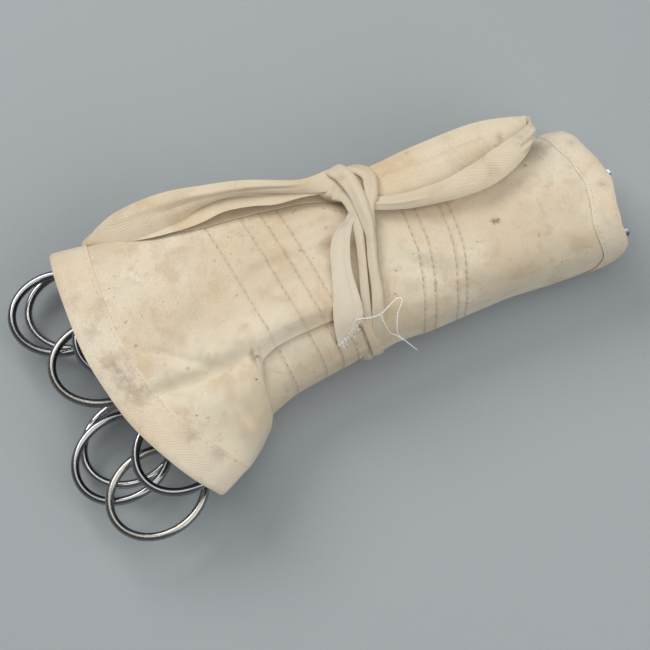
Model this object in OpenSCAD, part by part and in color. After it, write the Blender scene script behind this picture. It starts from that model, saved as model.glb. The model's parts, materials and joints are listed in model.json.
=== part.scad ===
// Rolled cotton instrument wrap, tied with tape, holding four ring-handled
// instruments and two dental elevators. Millimetres. +X runs along the roll
// towards the blade tips, +Z is up, and the origin is on the resting plane
// under the tie.

/* [Roll] */
// Height of the roll before its underside sags flat
roll_h = 42.6; // [42.4:0.1:44]
// Height that the tie under the roll lifts the cloth
tie_lift = 0.8; // [0.7:0.05:1.2]
// Squareness of the roll's section, 2 is an ellipse
roll_square = 3.4; // [3.2:0.1:3.8]
// Distance that one turn of the wrap adds to the radius
turn_pitch = 1.5; // [1.4:0.05:1.8]
// Thickness of the cotton drill
cloth_t = 0.5; // [0.4:0.05:0.6]
// Place of the tip end of the outer turn
tip_x = 93.5; // [90:0.5:98]
// Place of the mouth's leading edge on the outer turn
mouth_x = -98; // [-104:0.5:-94]
// Start of the inner turns, behind the finger rings
inner_mouth_x = -56; // [-56:0.5:-52]

/* [Tape] */
// Thickness of the twill tape
tape_t = 0.35; // [0.25:0.05:0.5]
// Width of the tape binding that shows on each side of an edge
binding_w = 12.3; // [8:0.1:14]
// Width of the tying tape laid flat
tie_w = 17; // [14:0.5:20]
// Width of the tying tape where it is gathered near the knot
tie_gathered_w = 9; // [7:0.5:12]

/* [Ring-handled instruments] */
// Distance between the layers in which the instruments lie
layer_pitch = 6.2; // [6:0.1:6.3]
// Height of the lowest instrument's middle plane
first_layer_z = 7.1; // [6.9:0.05:7.2]
// Thickness of one half at the joint
half_t = 2.6; // [2.2:0.1:2.6]
// Gap between the two halves at the joint
joint_gap = 0.2; // [0.1:0.02:0.3]
// Radius of the joint's disc
joint_r = 5.5; // [5:0.1:5.6]
// Radius of the joint's screw
screw_r = 2; // [1.5:0.05:2.2]
// Radial clearance of the screw in its bores
screw_clearance = 0.05; // [0.02:0.01:0.1]
// Thickness of the wire that the finger rings are made of
ring_wire = 3.2; // [2.6:0.1:3.4]
// Distance between ring centres when an instrument is closed
closed_ring_gap = 37; // [36.5:0.5:38]

/* [Elevators] */
// Radius of an elevator's handle
handle_r = 4; // [3:0.1:4.1]
// Length of an elevator's handle
handle_l = 82; // [70:1:84]
// Length of an elevator from its butt to its tip
elevator_l = 150; // [145:0.5:151]
// Radius of the shank where it leaves the handle
shank_r = 1.75; // [1.4:0.05:2]
// Height of the straight elevator's axis
elevator_z = 33.2; // [33:0.1:33.4]

/* [Hidden] */

steel = "lightsteelblue";
cotton = "wheat";
tape_colour = "antiquewhite";

// ---- Shape of the roll ------------------------------------------------------

turn_ref = 200;
inner_start = -540;
half_h = roll_h / 2 + 0.4;
under_inset = turn_pitch * (turn_ref + 90) / 360;
binding_lift = 0.45;
sag = 0.6;
mid_z = half_h - under_inset - sag;
step = 15;
tie_x = 5;
under_tie = [tie_x - 15, tie_x - 9.5, tie_x + 9.5, tie_x + 15];
fixed_x = [inner_mouth_x + 2, -45.5, -44.3, -43.2, -42, -36, -20, under_tie[0], under_tie[1], -3.2, -1.8, -0.5,
    tie_x, under_tie[2], under_tie[3], 40, 60, 80];
rim_steps = 3;
flap_steps = 7;

// Far and near sides of the roll in plan, at the middle of its height.
function far_y(x) = lookup(x, [[-98, 54.5], [-60, 46.5], [-36, 43.5], [5, 36], [40, 32.5], [95, 27.2]]);
function near_y(x) = lookup(x, [[-98, -52], [-66, -39], [-36, -26.8], [5, -21.2], [40, -18.8], [95, -18.6]]);
function mid_y(x) = (far_y(x) + near_y(x)) / 2;
function half_w(x) = (far_y(x) - near_y(x)) / 2;

function soft(v) = let (c = min(1, max(0, v))) c * c * (3 - 2 * c);
function mix(a, b, v) = a + (b - a) * v;
function keep_sign(v, p) = sign(v) * pow(abs(v), p);

// How far the loose flap at the mouth stands out from the roll.
function flare(x, t) = lookup(x, [[-75, 9], [-58, 7.5], [-45, 1.5], [-40, 0]]) * soft((t - 90) / 80);

// Height of the cloth's flat underside, which the tie and the two bindings lift.
function under_z(x) = lookup(x, [
    [-42, binding_lift], [-36, 0],
    [under_tie[0], 0], [under_tie[1], tie_lift], [under_tie[2], tie_lift], [under_tie[3], 0],
    [60, 0], [80, binding_lift]]);

// How far the turns inside the one at t degrees lift it off the underside.
function turns_under(t) = turn_pitch * max(0, round((-90 - t) / 360));

// A point of the spiral: x along the roll, t degrees round it, inset from the outer face.
function wrap_point(x, t, inset) =
    let (in = inset + turn_pitch * (turn_ref - t) / 360,
         w = half_w(x) - in,
         h = half_h - in)
    [x,
     mid_y(x) + w * keep_sign(cos(t), 2 / roll_square) - flare(x, t),
     max(mid_z + h * keep_sign(sin(t), 2 / roll_square), under_z(x) + inset + turns_under(t))];

// The outer turn's free edge, in degrees round the roll.
function end_angle(x) = lookup(x,
    [[-98, 160], [-75, 165], [-58, 176], [-45.5, 201], [-42, 109], [under_tie[1], 112], [-0.5, 203], [95, 205]]);

// The mouth's slanting rim, which bows outwards, and the tip end's rim.
function rim_x(y) = (y > 22) ? mouth_x + 2 * pow((y - 22) / 30, 2) : mouth_x + 25 * pow((22 - y) / 72, 1.9);
function left_x(t) = mix(inner_mouth_x, rim_x(wrap_point(-88, t, 0)[1]), soft((t + 40) / 55));
function right_x(t) = tip_x - 1.5 * pow(sin(t / 2), 2);

function spiral_angles() = [for (t = [inner_start:step:90]) t];
function wrap_angles(x) =
    concat(spiral_angles(), [for (i = [1:flap_steps]) mix(90, end_angle(x), i / flap_steps)]);
function wrap_stations(t) = concat(
    [for (i = [0:rim_steps - 1]) mix(left_x(t), inner_mouth_x + 2, i / rim_steps)],
    fixed_x,
    [right_x(t)]);
turn_count = len(wrap_angles(0));
rim_angles = wrap_angles(-80);
tip_angles = wrap_angles(90);

function wrap_row(i, inset) =
    let (xs = wrap_stations(min(rim_angles[i], tip_angles[i])))
    [for (x = xs) wrap_point(x, wrap_angles(x)[i], inset)];

// A closed thin solid between two grids of points. Rows run round the roll, columns along it.
module sheet(outer, inner) {
    rows = len(outer);
    cols = len(outer[0]);
    n = rows * cols;
    top = [for (i = [0:rows - 2], j = [0:cols - 2], h = [0, 1])
        let (a = i * cols + j)
        h == 0 ? [a, a + cols + 1, a + cols] : [a, a + 1, a + cols + 1]];
    under = [for (f = top) [f[0] + n, f[2] + n, f[1] + n]];
    first_side = [for (i = [0:rows - 2], h = [0, 1])
        let (a = i * cols)
        h == 0 ? [a, a + cols, a + cols + n] : [a, a + cols + n, a + n]];
    last_side = [for (i = [0:rows - 2], h = [0, 1])
        let (a = i * cols + cols - 1)
        h == 0 ? [a + cols, a, a + n] : [a + cols, a + n, a + cols + n]];
    start_side = [for (j = [0:cols - 2], h = [0, 1])
        h == 0 ? [j + 1, j, j + n] : [j + 1, j + n, j + 1 + n]];
    end_side = [for (j = [0:cols - 2], h = [0, 1])
        let (a = n - cols + j)
        h == 0 ? [a, a + 1, a + 1 + n] : [a, a + 1 + n, a + n]];
    polyhedron(
        points = concat([for (r = outer) each r], [for (r = inner) each r]),
        faces = concat(top, under, first_side, last_side, start_side, end_side));
}

module wrap_cloth() {
    rows = [0:turn_count - 1];
    color(cotton)
        sheet([for (i = rows) wrap_row(i, 0)], [for (i = rows) wrap_row(i, cloth_t)]);
}

// ---- Bindings and bands -----------------------------------------------------

fit_gap = 0.05;

// Tape folded over an edge: side is +1 at the mouth and -1 at the tip end.
function fold_row(edge_x, t, side, grow) =
    let (out = -fit_gap - grow,
         back = cloth_t + fit_gap + grow,
         lip = edge_x - side * (fit_gap + grow),
         leg = edge_x + side * binding_w)
    [wrap_point(leg, t, out), wrap_point(lip, t, out), wrap_point(lip, t, back), wrap_point(leg, t, back)];

module mouth_binding() {
    color(tape_colour)
        sheet(
            [for (t = rim_angles) fold_row(left_x(t), t, 1, 0)],
            [for (t = rim_angles) fold_row(left_x(t), t, 1, tape_t)]);
}

module tip_binding() {
    color(tape_colour)
        sheet(
            [for (t = tip_angles) fold_row(right_x(t), t, -1, tape_t)],
            [for (t = tip_angles) fold_row(right_x(t), t, -1, 0)]);
}

stitch_w = 0.6;
stitch_t = 0.2;

// A line of thread standing for one row of stitches round the visible turn.
module stitch_row(edges, angles, lift) {
    function line(t, inset) = [for (x = edges(t)) wrap_point(x, t, inset)];
    sheet(
        [for (t = angles) line(t, -lift - stitch_t)],
        [for (t = angles) line(t, -lift)]);
}

binding_stitch_in = 1.6;

module binding_stitching() {
    mouth = function (t)
        [for (d = [0, stitch_w]) left_x(t) + binding_w - binding_stitch_in + d];
    tip = function (t)
        [for (d = [0, stitch_w]) right_x(t) - binding_w + binding_stitch_in - d];
    tip_ordered = function (t) [tip(t)[1], tip(t)[0]];
    lift = fit_gap * 2 + tape_t;
    color(cotton) {
        stitch_row(mouth, [for (t = rim_angles) if (t >= -15) t], lift);
        stitch_row(tip_ordered, [for (t = tip_angles) if (t >= -60) t], lift);
    }
}

handle_band_x = [-42, -36, -18];
blade_band_x = [24, 41];
band_rows = [-42, -40, -29, -23, -18, 24, 28, 36, 41];
band_angles = [for (t = [inner_start + 30:step:inner_start + 330]) t];
band_inset = cloth_t + 0.15;

module inner_band(columns) {
    function strip(t, inset) = [for (x = columns) wrap_point(x, t, inset)];
    color(tape_colour)
        sheet(
            [for (t = band_angles) strip(t, band_inset)],
            [for (t = band_angles) strip(t, band_inset + cloth_t)]);
}

module handle_band() inner_band(handle_band_x);
module blade_band() inner_band(blade_band_x);

module band_stitching() {
    lift = 0.3;
    color(cotton)
        for (x = band_rows) {
            across = function (t) [x, x + stitch_w];
            stitch_row(across, [for (t = wrap_angles(x)) if (t >= -60 && t <= end_angle(x) - 10) t], lift);
        }
}

// ---- Tie, bow and thread ----------------------------------------------------

tie_gap = 0.35;
tie_t = 0.7;

// The roll's section at the tie, grown outwards and flattened on the resting plane.
function tie_outline(grow, floor_z) =
    [for (t = [0:step / 2:359])
        let (r = turn_pitch * (turn_ref - (t > 205 ? t - 360 : t)) / 360 - grow,
             y = mid_y(tie_x) + (half_w(tie_x) - r) * keep_sign(cos(t), 2 / roll_square),
             z = mid_z + (half_h - r) * keep_sign(sin(t), 2 / roll_square))
        [y, max(z, floor_z)]];

module tie_band() {
    gather_z = 22;
    flat_z = 4;
    top_z = 50;
    reach_y = 100;
    color(tape_colour)
        intersection() {
            translate([tie_x - tie_w / 2, 0, 0])
                rotate([90, 0, 90])
                    linear_extrude(tie_w)
                        difference() {
                            polygon(tie_outline(tie_gap + tie_t, 0));
                            polygon(tie_outline(tie_gap, tie_lift - fit_gap));
                        }
            translate([0, reach_y / 2, 0])
                rotate([90, 0, 0])
                    linear_extrude(reach_y)
                        polygon([
                            [tie_x - tie_w / 2, -1],
                            [tie_x + tie_w / 2, -1],
                            [tie_x + tie_w / 2, flat_z],
                            [tie_x + tie_gathered_w / 2, gather_z],
                            [tie_x + tie_gathered_w / 2, top_z],
                            [tie_x - tie_gathered_w / 2, top_z],
                            [tie_x - tie_gathered_w / 2, gather_z],
                            [tie_x - tie_w / 2, flat_z]]);
        }
}

knot_at = [8.5, 34.2, 40.8];
knot_r = 4;

// Two crossing wraps of gathered tape.
module tie_knot() {
    color(tape_colour) {
        hull() {
            translate(knot_at + [-3, -2.6, 1.8]) sphere(r = knot_r - 0.6, $fn = 24);
            translate(knot_at + [3.4, 2.2, -1.6]) sphere(r = knot_r, $fn = 24);
        }
        hull() {
            translate(knot_at + [-2.4, 3.4, -0.6]) sphere(r = knot_r - 1, $fn = 24);
            translate(knot_at + [2.6, -2.8, 1.4]) sphere(r = knot_r - 0.8, $fn = 24);
        }
    }
}

function unit(v) = v / norm(v);

// A length of tape. Each station is [centre, half-width vector].
module ribbon(stations, thickness) {
    n = len(stations);
    function tangent(i) = unit(stations[min(i + 1, n - 1)][0] - stations[max(i - 1, 0)][0]);
    function normal(i) = unit(cross(stations[i][1], tangent(i)));
    function row(i, off) =
        let (c = stations[i][0] + normal(i) * off, w = stations[i][1])
        [c - w, c, c + w];
    sheet(
        [for (i = [0:n - 1]) row(i, -thickness / 2)],
        [for (i = [0:n - 1]) row(i, thickness / 2)]);
}

bow_t = 0.6;

// The long loop lies along the far shoulder, tilted outwards.
module left_bow_loop() {
    color(tape_colour)
        ribbon([
            [[2.2, 41.5, 40], [0, 3, 3]],
            [[-12, 45, 41], [0, 3.5, 5]],
            [[-26, 47.5, 41], [0, 4.5, 6]],
            [[-42, 50, 39], [0, 5.4, 6.4]],
            [[-58, 52.6, 35.5], [0, 6, 6]],
            [[-70, 53.8, 32], [-1, 4.6, 4.6]],
            [[-79.5, 53.6, 31], [-2, 3, 3]],
            [[-81.5, 51.6, 34], [-2, 1.4, 3.4]],
            [[-77, 50, 36], [-1, 1.8, 3.4]],
            [[-62, 47.4, 38.6], [0, 2.2, 4]],
            [[-44, 45, 41.5], [0, 2, 4]],
            [[-26, 42.6, 43], [0, 2, 3.4]],
            [[-10, 39.6, 43.4], [0, 2, 2.6]],
            [[2, 36.6, 43.4], [0, 1.8, 2]]], bow_t);
}

// The short loop lies over the top of the roll, its far end puckered.
module right_bow_loop() {
    color(tape_colour)
        ribbon([
            [[17, 34.5, 42], [0, 3, -1]],
            [[24, 36, 42.3], [0, 4.5, -2]],
            [[38, 37, 42.6], [0, 5.5, -3]],
            [[52, 35.8, 43], [1, 6.5, -3]],
            [[64, 33.4, 43.8], [2, 6.5, -2]],
            [[71.5, 31.6, 45.6], [3, 5, 0]],
            [[73.5, 29, 48], [3, 4, 1]],
            [[69, 25, 49.6], [3, 5, 1]],
            [[58, 22, 49.4], [2, 6, 1]],
            [[46, 21.4, 48.6], [1, 6, 1]],
            [[32, 22.8, 47.2], [0, 5.5, 1]],
            [[18, 27.2, 45.4], [0, 3.5, 0]]], bow_t);
}

// The loose end hangs down over the near side.
module tie_tail() {
    color(tape_colour)
        ribbon([
            [[3.4, 25.4, 44.4], [2.5, 1.2, 0]],
            [[0.5, 18, 44.8], [3.2, 1, 0]],
            [[-4, 8, 44.6], [4.4, 1, 0]],
            [[-7, -1, 44], [5.4, 0.6, 0]],
            [[-8.6, -7.4, 42.8], [5.2, 0.2, 0]],
            [[-10, -12.6, 40.2], [4, 0, 0]]], bow_t);
}

module loose_thread() {
    thread_w = 0.25;
    function strand(points) = [for (p = points) [p, [0, thread_w, thread_w]]];
    color("white")
        ribbon(strand([
            [-3.6, -11.4, 44.2],
            [1.5, -11.6, 44],
            [6, -9.8, 43.6],
            [11, -8.8, 42.8],
            [10.4, -14, 42],
            [8, -19.6, 38],
            [8.6, -23.4, 33],
            [12.4, -26.4, 26]]), thread_w * 2);
}

// ---- Ring-handled instruments -----------------------------------------------

// One row for each: [name, pivot x, pivot y, layer, ring distance, heading,
//                    opening of each half, jaw length, kind].
// Headings and openings are in degrees, and heading 0 points the jaws along +X.
instruments = [
    ["straight_forceps", 36.4, 13, 0, 131, 1.3, 3.3, 56, "straight"],
    ["curved_forceps", 34.5, 12, 1, 134.8, 2.3, 4.2, 55, "curved"],
    ["needle_holder", 39, -8.2, 2, 131.7, 2.5, 2.9, 50, "holder"],
    ["suture_scissors", 42, 6, 3, 122.4, 5.9, 1.8, 46, "scissors"]];

screw_hole_r = screw_r + screw_clearance;
shank_w = 3.6;
ring_long = 19;
ring_short = 16;
ring_tilt = 9;
full_r = 9;

// A bar of even width along a row of points.
function side_of(p, i, w) =
    let (a = p[max(i - 1, 0)], b = p[min(i + 1, len(p) - 1)], d = unit(b - a))
    p[i] + [-d[1], d[0]] * w;
module bar(points, w_start, w_end) {
    n = len(points);
    polygon(concat(
        [for (i = [0:n - 1]) side_of(points, i, mix(w_start, w_end, i / (n - 1)) / 2)],
        [for (i = [n - 1:-1:0]) side_of(points, i, -mix(w_start, w_end, i / (n - 1)) / 2)]));
}

module finger_ring(centre, side) {
    function oval(grow) = [for (a = [0:9:351]) [(ring_long + grow) * cos(a), (ring_short + grow) * sin(a)]];
    translate(centre)
        rotate(-side * ring_tilt)
            difference() {
                polygon(oval(0));
                polygon(oval(-ring_wire));
            }
}

// The shank leaves the joint close to the middle line and flares out to its ring.
function shank_points(reach, side) =
    let (end = reach - ring_long + 1.5)
    [for (p = [[7, 2.3], [30, 2.7], [58, 3.4], [78, 5.2], [95, 9], [end, closed_ring_gap / 2 - 4.5]])
        [-p[0], side * p[1]]];

function jaw_bend(x, length, kind) = kind == "curved" ? -5 * pow(x / length, 2.2) : 0;

// A jaw tapers forward on the other side of the middle line from its shank.
module jaw_outline(length, side, kind) {
    slit = 0.12;
    tip_w = kind == "scissors" ? 1.2 : 1.6;
    root_w = kind == "holder" ? 4.4 : 3.9;
    xs = [5, 15, 25, 35, 45, 55];
    function y_in(x) = -side * slit + jaw_bend(x, length, kind);
    function y_out(x) = -side * (slit + mix(root_w, tip_w, x / length)) + jaw_bend(x, length, kind);
    used = [for (x = xs) if (x < length - 4) x];
    polygon(concat(
        [for (x = used) [x, y_in(x)]],
        [[length - 0.8, y_in(length)], [length, y_in(length) - side * tip_w / 2]],
        [[length - 1, y_out(length)]],
        [for (i = [len(used) - 1:-1:0]) [used[i], y_out(used[i])]]));
}

module beyond_joint(r) {
    difference() {
        children();
        circle(r = r, $fn = 48);
    }
}

// Half of an instrument, closed, with its joint at the origin. Side +1 carries
// the ring on +Y and lies above the joint's plane, side -1 is the other half.
module instrument_half(reach, jaw_length, kind, side) {
    low = side > 0 ? joint_gap / 2 : -joint_gap / 2 - half_t;
    full_t = 3.8;
    ratchet_l = 8;
    ratchet_t = 1.3;
    points = shank_points(reach, side);
    translate([0, 0, low])
        linear_extrude(half_t)
            difference() {
                union() {
                    circle(r = joint_r, $fn = 48);
                    bar([[0, side * 0.6], points[0], side_mid(points)], shank_w, shank_w);
                    intersection() {
                        jaw_outline(jaw_length, side, kind);
                        circle(r = full_r + 3, $fn = 48);
                    }
                }
                circle(r = screw_hole_r, $fn = 48);
            }
    translate([0, 0, -full_t / 2])
        linear_extrude(full_t)
            beyond_joint(full_r) {
                bar(points, shank_w, ring_wire + 0.4);
                jaw_outline(jaw_length, side, kind);
            }
    translate([0, 0, -ring_wire / 2])
        linear_extrude(ring_wire)
            finger_ring([-reach, side * closed_ring_gap / 2], side);
    if (kind != "scissors") {
        root = points[4];
        translate([0, 0, side > 0 ? joint_gap / 2 : -joint_gap / 2 - ratchet_t])
            linear_extrude(ratchet_t)
                polygon([
                    root,
                    root + [4, 0],
                    root + [3, -side * (ratchet_l + 2)],
                    root + [-1, -side * (ratchet_l + 2)]]);
    }
}
function side_mid(points) = mix(points[0], points[1], 0.25);

module placed(row) {
    translate([row[1], row[2], first_layer_z + row[3] * layer_pitch])
        rotate(row[5])
            children();
}

module half_a(row) color(steel) placed(row) rotate(-row[6]) instrument_half(row[4], row[7], row[8], 1);
module half_b(row) color(steel) placed(row) rotate(row[6]) instrument_half(row[4], row[7], row[8], -1);

module screw(row) {
    slot_w = 0.7;
    slot_d = 0.6;
    top = half_t + joint_gap / 2;
    color("silver")
        placed(row)
            difference() {
                translate([0, 0, -top]) cylinder(r = screw_r, h = 2 * top, $fn = 48);
                translate([-screw_r * 2, -slot_w / 2, top - slot_d]) cube([screw_r * 4, slot_w, slot_d * 2]);
            }
}

module straight_forceps_half_a() half_a(instruments[0]);
module straight_forceps_half_b() half_b(instruments[0]);
module straight_forceps_screw() screw(instruments[0]);
module curved_forceps_half_a() half_a(instruments[1]);
module curved_forceps_half_b() half_b(instruments[1]);
module curved_forceps_screw() screw(instruments[1]);
module needle_holder_half_a() half_a(instruments[2]);
module needle_holder_half_b() half_b(instruments[2]);
module needle_holder_screw() screw(instruments[2]);
module suture_scissors_half_a() half_a(instruments[3]);
module suture_scissors_half_b() half_b(instruments[3]);
module suture_scissors_screw() screw(instruments[3]);

// ---- Elevators --------------------------------------------------------------

// Each elevator is drawn along +X from its butt, then dipped and turned by its heading.
elevator_tips = [[96.6, 7.4, elevator_z], [95.4, -13.6, 27.9]];
elevator_headings = [-3.1, -3.7];
elevator_dips = [0, 2.3];
tang_r = 1.4;
tang_l = 14;
tang_clearance = 0.02;

module placed_elevator(i) {
    translate(elevator_tips[i])
        rotate([0, elevator_dips[i], elevator_headings[i]])
            translate([-elevator_l, 0, 0])
                children();
}

// A slim steel handle with a domed butt, a long waist and a collar at the shank.
module elevator_handle(i) {
    color(steel)
        placed_elevator(i)
            rotate([0, 90, 0])
                rotate_extrude($fn = 48)
                    polygon([
                        [0, 0],
                        [handle_r * 0.6, 0.4],
                        [handle_r * 0.92, 2],
                        [handle_r, 5],
                        [handle_r, handle_l * 0.45],
                        [handle_r * 0.86, handle_l * 0.7],
                        [handle_r * 0.66, handle_l * 0.93],
                        [handle_r * 0.5, handle_l],
                        [tang_r, handle_l],
                        [tang_r, handle_l - tang_l],
                        [0, handle_l - tang_l]]);
}

// The shank tapers to a small gouge-shaped blade, hollowed on its upper face.
module elevator_blade(i) {
    blade_l = 12;
    blade_r = 1.5;
    neck_r = 1.1;
    hollow_r = 3;
    hollow_lift = 3.5;
    color(steel)
        placed_elevator(i)
            difference() {
                rotate([0, 90, 0])
                    rotate_extrude($fn = 48)
                        polygon([
                            [0, handle_l - tang_l + 0.2],
                            [tang_r - tang_clearance, handle_l - tang_l + 0.2],
                            [tang_r - tang_clearance, handle_l + 0.05],
                            [shank_r, handle_l + 0.05],
                            [neck_r, elevator_l - blade_l],
                            [blade_r, elevator_l - blade_l * 0.6],
                            [blade_r, elevator_l - 2.2],
                            [blade_r * 0.6, elevator_l - 0.4],
                            [0, elevator_l]]);
                translate([elevator_l - blade_l * 0.7, 0, hollow_lift])
                    rotate([0, 90, 0])
                        cylinder(r = hollow_r, h = blade_l, $fn = 48);
            }
}

module straight_elevator_handle() elevator_handle(0);
module straight_elevator_blade() elevator_blade(0);
module angled_elevator_handle() elevator_handle(1);
module angled_elevator_blade() elevator_blade(1);

wrap_cloth();
mouth_binding();
tip_binding();
binding_stitching();
handle_band();
blade_band();
band_stitching();
tie_band();
tie_knot();
left_bow_loop();
right_bow_loop();
tie_tail();
loose_thread();
suture_scissors_half_a();
suture_scissors_half_b();
suture_scissors_screw();
needle_holder_half_a();
needle_holder_half_b();
needle_holder_screw();
curved_forceps_half_a();
curved_forceps_half_b();
curved_forceps_screw();
straight_forceps_half_a();
straight_forceps_half_b();
straight_forceps_screw();
straight_elevator_handle();
straight_elevator_blade();
angled_elevator_handle();
angled_elevator_blade();
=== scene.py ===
import json
import random
from math import asin, atan2, copysign, cos, exp, hypot, pi, radians, sin, sqrt

import bpy
import numpy as np
from mathutils import Matrix, Vector, noise


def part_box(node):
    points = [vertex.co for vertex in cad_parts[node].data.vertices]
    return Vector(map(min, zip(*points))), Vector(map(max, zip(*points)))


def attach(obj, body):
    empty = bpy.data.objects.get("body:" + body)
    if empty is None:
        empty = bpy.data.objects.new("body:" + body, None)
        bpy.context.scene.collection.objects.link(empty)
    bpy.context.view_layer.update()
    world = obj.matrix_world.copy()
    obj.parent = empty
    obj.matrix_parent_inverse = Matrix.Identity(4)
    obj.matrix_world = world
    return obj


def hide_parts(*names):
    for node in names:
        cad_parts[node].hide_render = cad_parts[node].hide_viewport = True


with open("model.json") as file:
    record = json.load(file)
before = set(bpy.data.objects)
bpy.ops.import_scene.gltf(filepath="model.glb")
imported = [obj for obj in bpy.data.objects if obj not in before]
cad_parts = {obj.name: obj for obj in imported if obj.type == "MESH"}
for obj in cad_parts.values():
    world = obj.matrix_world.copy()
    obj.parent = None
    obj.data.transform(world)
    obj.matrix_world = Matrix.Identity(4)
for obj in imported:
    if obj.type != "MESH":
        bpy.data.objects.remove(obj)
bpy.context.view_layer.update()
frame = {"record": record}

MM = 0.001
UP = Vector((0, 0, 1))
rng = random.Random(11)
VIEW_AZIMUTH = radians(-21.3)
VIEW_ELEVATION = radians(75)
VIEW_DISTANCE = 900.0
VIEW_LENS = 142.4
VIEW_TARGET = Vector((-15, -4, 18))
SCREEN_RIGHT = Vector((cos(VIEW_AZIMUTH), sin(VIEW_AZIMUTH), 0))
SCREEN_AWAY = Vector((-sin(VIEW_AZIMUTH), cos(VIEW_AZIMUTH), 0))

# ---- Numbers and curves ----


def soft(value):
    """Rises smoothly from 0 to 1 as the value goes from 0 to 1."""
    c = min(1, max(0, value))
    return c * c * (3 - 2 * c)


def mix(a, b, v):
    return a + (b - a) * v


def shares(count):
    """Even steps from 0 to 1."""
    return [k / (count - 1) for k in range(count)]


def turns(count):
    """Even steps round a circle, in radians."""
    return [2 * pi * k / count for k in range(count)]


def lookup(x, pairs):
    return float(np.interp(x, *zip(*pairs)))


def smooth_lookup(x, pairs):
    """A smooth curve through the pairs, for outlines that must not show corners."""
    xs = [p[0] for p in pairs]
    if x <= xs[0] or x >= xs[-1]:
        return lookup(x, pairs)
    i = max(k for k in range(len(xs) - 1) if xs[k] <= x)
    (x0, y0), (x1, y1) = pairs[i : i + 2]
    before = pairs[max(i - 1, 0)]
    after = pairs[min(i + 2, len(xs) - 1)]
    m0 = (y1 - before[1]) / (x1 - before[0])
    m1 = (after[1] - y0) / (after[0] - x0)
    h = x1 - x0
    u = (x - x0) / h
    start = (2 * u**3 - 3 * u**2 + 1) * y0 + (u**3 - 2 * u**2 + u) * h * m0
    return start + (3 * u**2 - 2 * u**3) * y1 + (u**3 - u**2) * h * m1


def bump_at(distance, width):
    return exp(-((distance / width) ** 2))


def ripple(x, y, z, seed):
    return noise.noise(Vector((x + seed * 17.3, y - seed * 5.1, z + seed * 3.7)))


def path_points(points, count):
    """Even samples of a smooth curve through the points."""
    p = [Vector(q) for q in points]
    p = [2 * p[0] - p[1]] + p + [2 * p[-1] - p[-2]]
    dense = []
    per = 14
    for i in range(1, len(p) - 2):
        a, b, c, d = p[i - 1 : i + 3]
        for k in range(per):
            t = k / per
            start = 2 * b + (c - a) * t + (2 * a - 5 * b + 4 * c - d) * t**2
            dense.append(0.5 * (start + (3 * b - a - 3 * c + d) * t**3))
    dense.append(p[-2])
    lengths = [0]
    for a, b in zip(dense, dense[1:]):
        lengths.append(lengths[-1] + (b - a).length)
    marks = np.linspace(0, lengths[-1], count)
    columns = [np.interp(marks, lengths, [q[k] for q in dense]) for k in range(3)]
    return [Vector(c) for c in zip(*columns)]


def step_at(path, i):
    """The step from the point before point i to the one after it."""
    return path[min(i + 1, len(path) - 1)] - path[max(i - 1, 0)]


def values_along(values, count):
    marks = np.linspace(0, len(values) - 1, count)
    return list(np.interp(marks, range(len(values)), values))


# ---- Meshes ----


def smooth_shading(mesh, sharp):
    mesh.shade_smooth()
    mesh.set_sharp_from_angle(angle=radians(sharp))


def in_scene(name, data):
    made = bpy.data.objects.new(name, data)
    bpy.context.scene.collection.objects.link(made)
    return made


def add_mesh(name, verts_mm, faces, uvs=None, sharp=60):
    """A mesh object in metres. uvs holds one (u, v) for each vertex, in millimetres."""
    mesh = bpy.data.meshes.new(name)
    mesh.from_pydata([tuple(c * MM for c in v) for v in verts_mm], [], faces)
    mesh.update()
    if uvs is not None:
        layer = mesh.uv_layers.new(name="cloth")
        loops = np.empty(len(mesh.loops), dtype=np.int32)
        mesh.loops.foreach_get("vertex_index", loops)
        layer.data.foreach_set("uv", np.array(uvs, dtype=np.float32)[loops].ravel())
    smooth_shading(mesh, sharp)
    return in_scene(name, mesh)


def sheet_faces(rows, cols):
    """Faces of a closed thin solid between two grids, the outer one first."""
    n = rows * cols
    faces = []
    for i in range(rows - 1):
        for j in range(cols - 1):
            a = i * cols + j
            faces.append((a, a + cols, a + cols + 1, a + 1))
            faces.append((a + n, a + 1 + n, a + cols + 1 + n, a + cols + n))
    for i in range(rows - 1):
        a, b = i * cols, i * cols + cols - 1
        faces += [(a, a + n, a + cols + n, a + cols), (b, b + cols, b + cols + n, b + n)]
    for j in range(cols - 1):
        a = n - cols + j
        faces += [(j, j + 1, j + 1 + n, j + n), (a, a + n, a + 1 + n, a + 1)]
    return faces


def sheet(name, outer, inner, uvs, sharp):
    """A thin solid between two grids of points. uvs holds the grid's (u, v) pairs."""
    rows, cols = len(outer), len(outer[0])
    verts = [p for grid in (outer, inner) for row in grid for p in row]
    flat = [p for row in uvs for p in row] * 2
    return add_mesh(name, verts, sheet_faces(rows, cols), flat, sharp)


def normals_of(grid):
    """The grid as an array, and its unit normals."""
    g = np.array([[list(p) for p in row] for row in grid])
    n = np.cross(np.gradient(g, axis=0), np.gradient(g, axis=1))
    length = np.linalg.norm(n, axis=2, keepdims=True)
    return g, n / np.maximum(length, 1e-9)


def side_faces(rings, around, base):
    """Faces between rings of points, starting at point number base."""
    faces = []
    for i in range(rings - 1):
        for k in range(around):
            a = base + i * around + k
            b = base + i * around + (k + 1) % around
            faces.append((a, b, b + around, a + around))
    return faces


def tube_faces(rings, around, base=0):
    """A tube's side faces and its two end faces."""
    faces = side_faces(rings, around, base)
    faces.append(tuple(base + k for k in reversed(range(around))))
    faces.append(tuple(base + (rings - 1) * around + k for k in range(around)))
    return faces


def hoop_faces(rings, around):
    """Faces of a tube that is closed into a hoop."""
    faces = []
    for i in range(rings):
        here, there = i * around, (i + 1) % rings * around
        for k in range(around):
            after = (k + 1) % around
            faces.append((here + k, there + k, there + after, here + after))
    return faces


# ---- The roll's surface, in millimetres ----

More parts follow.
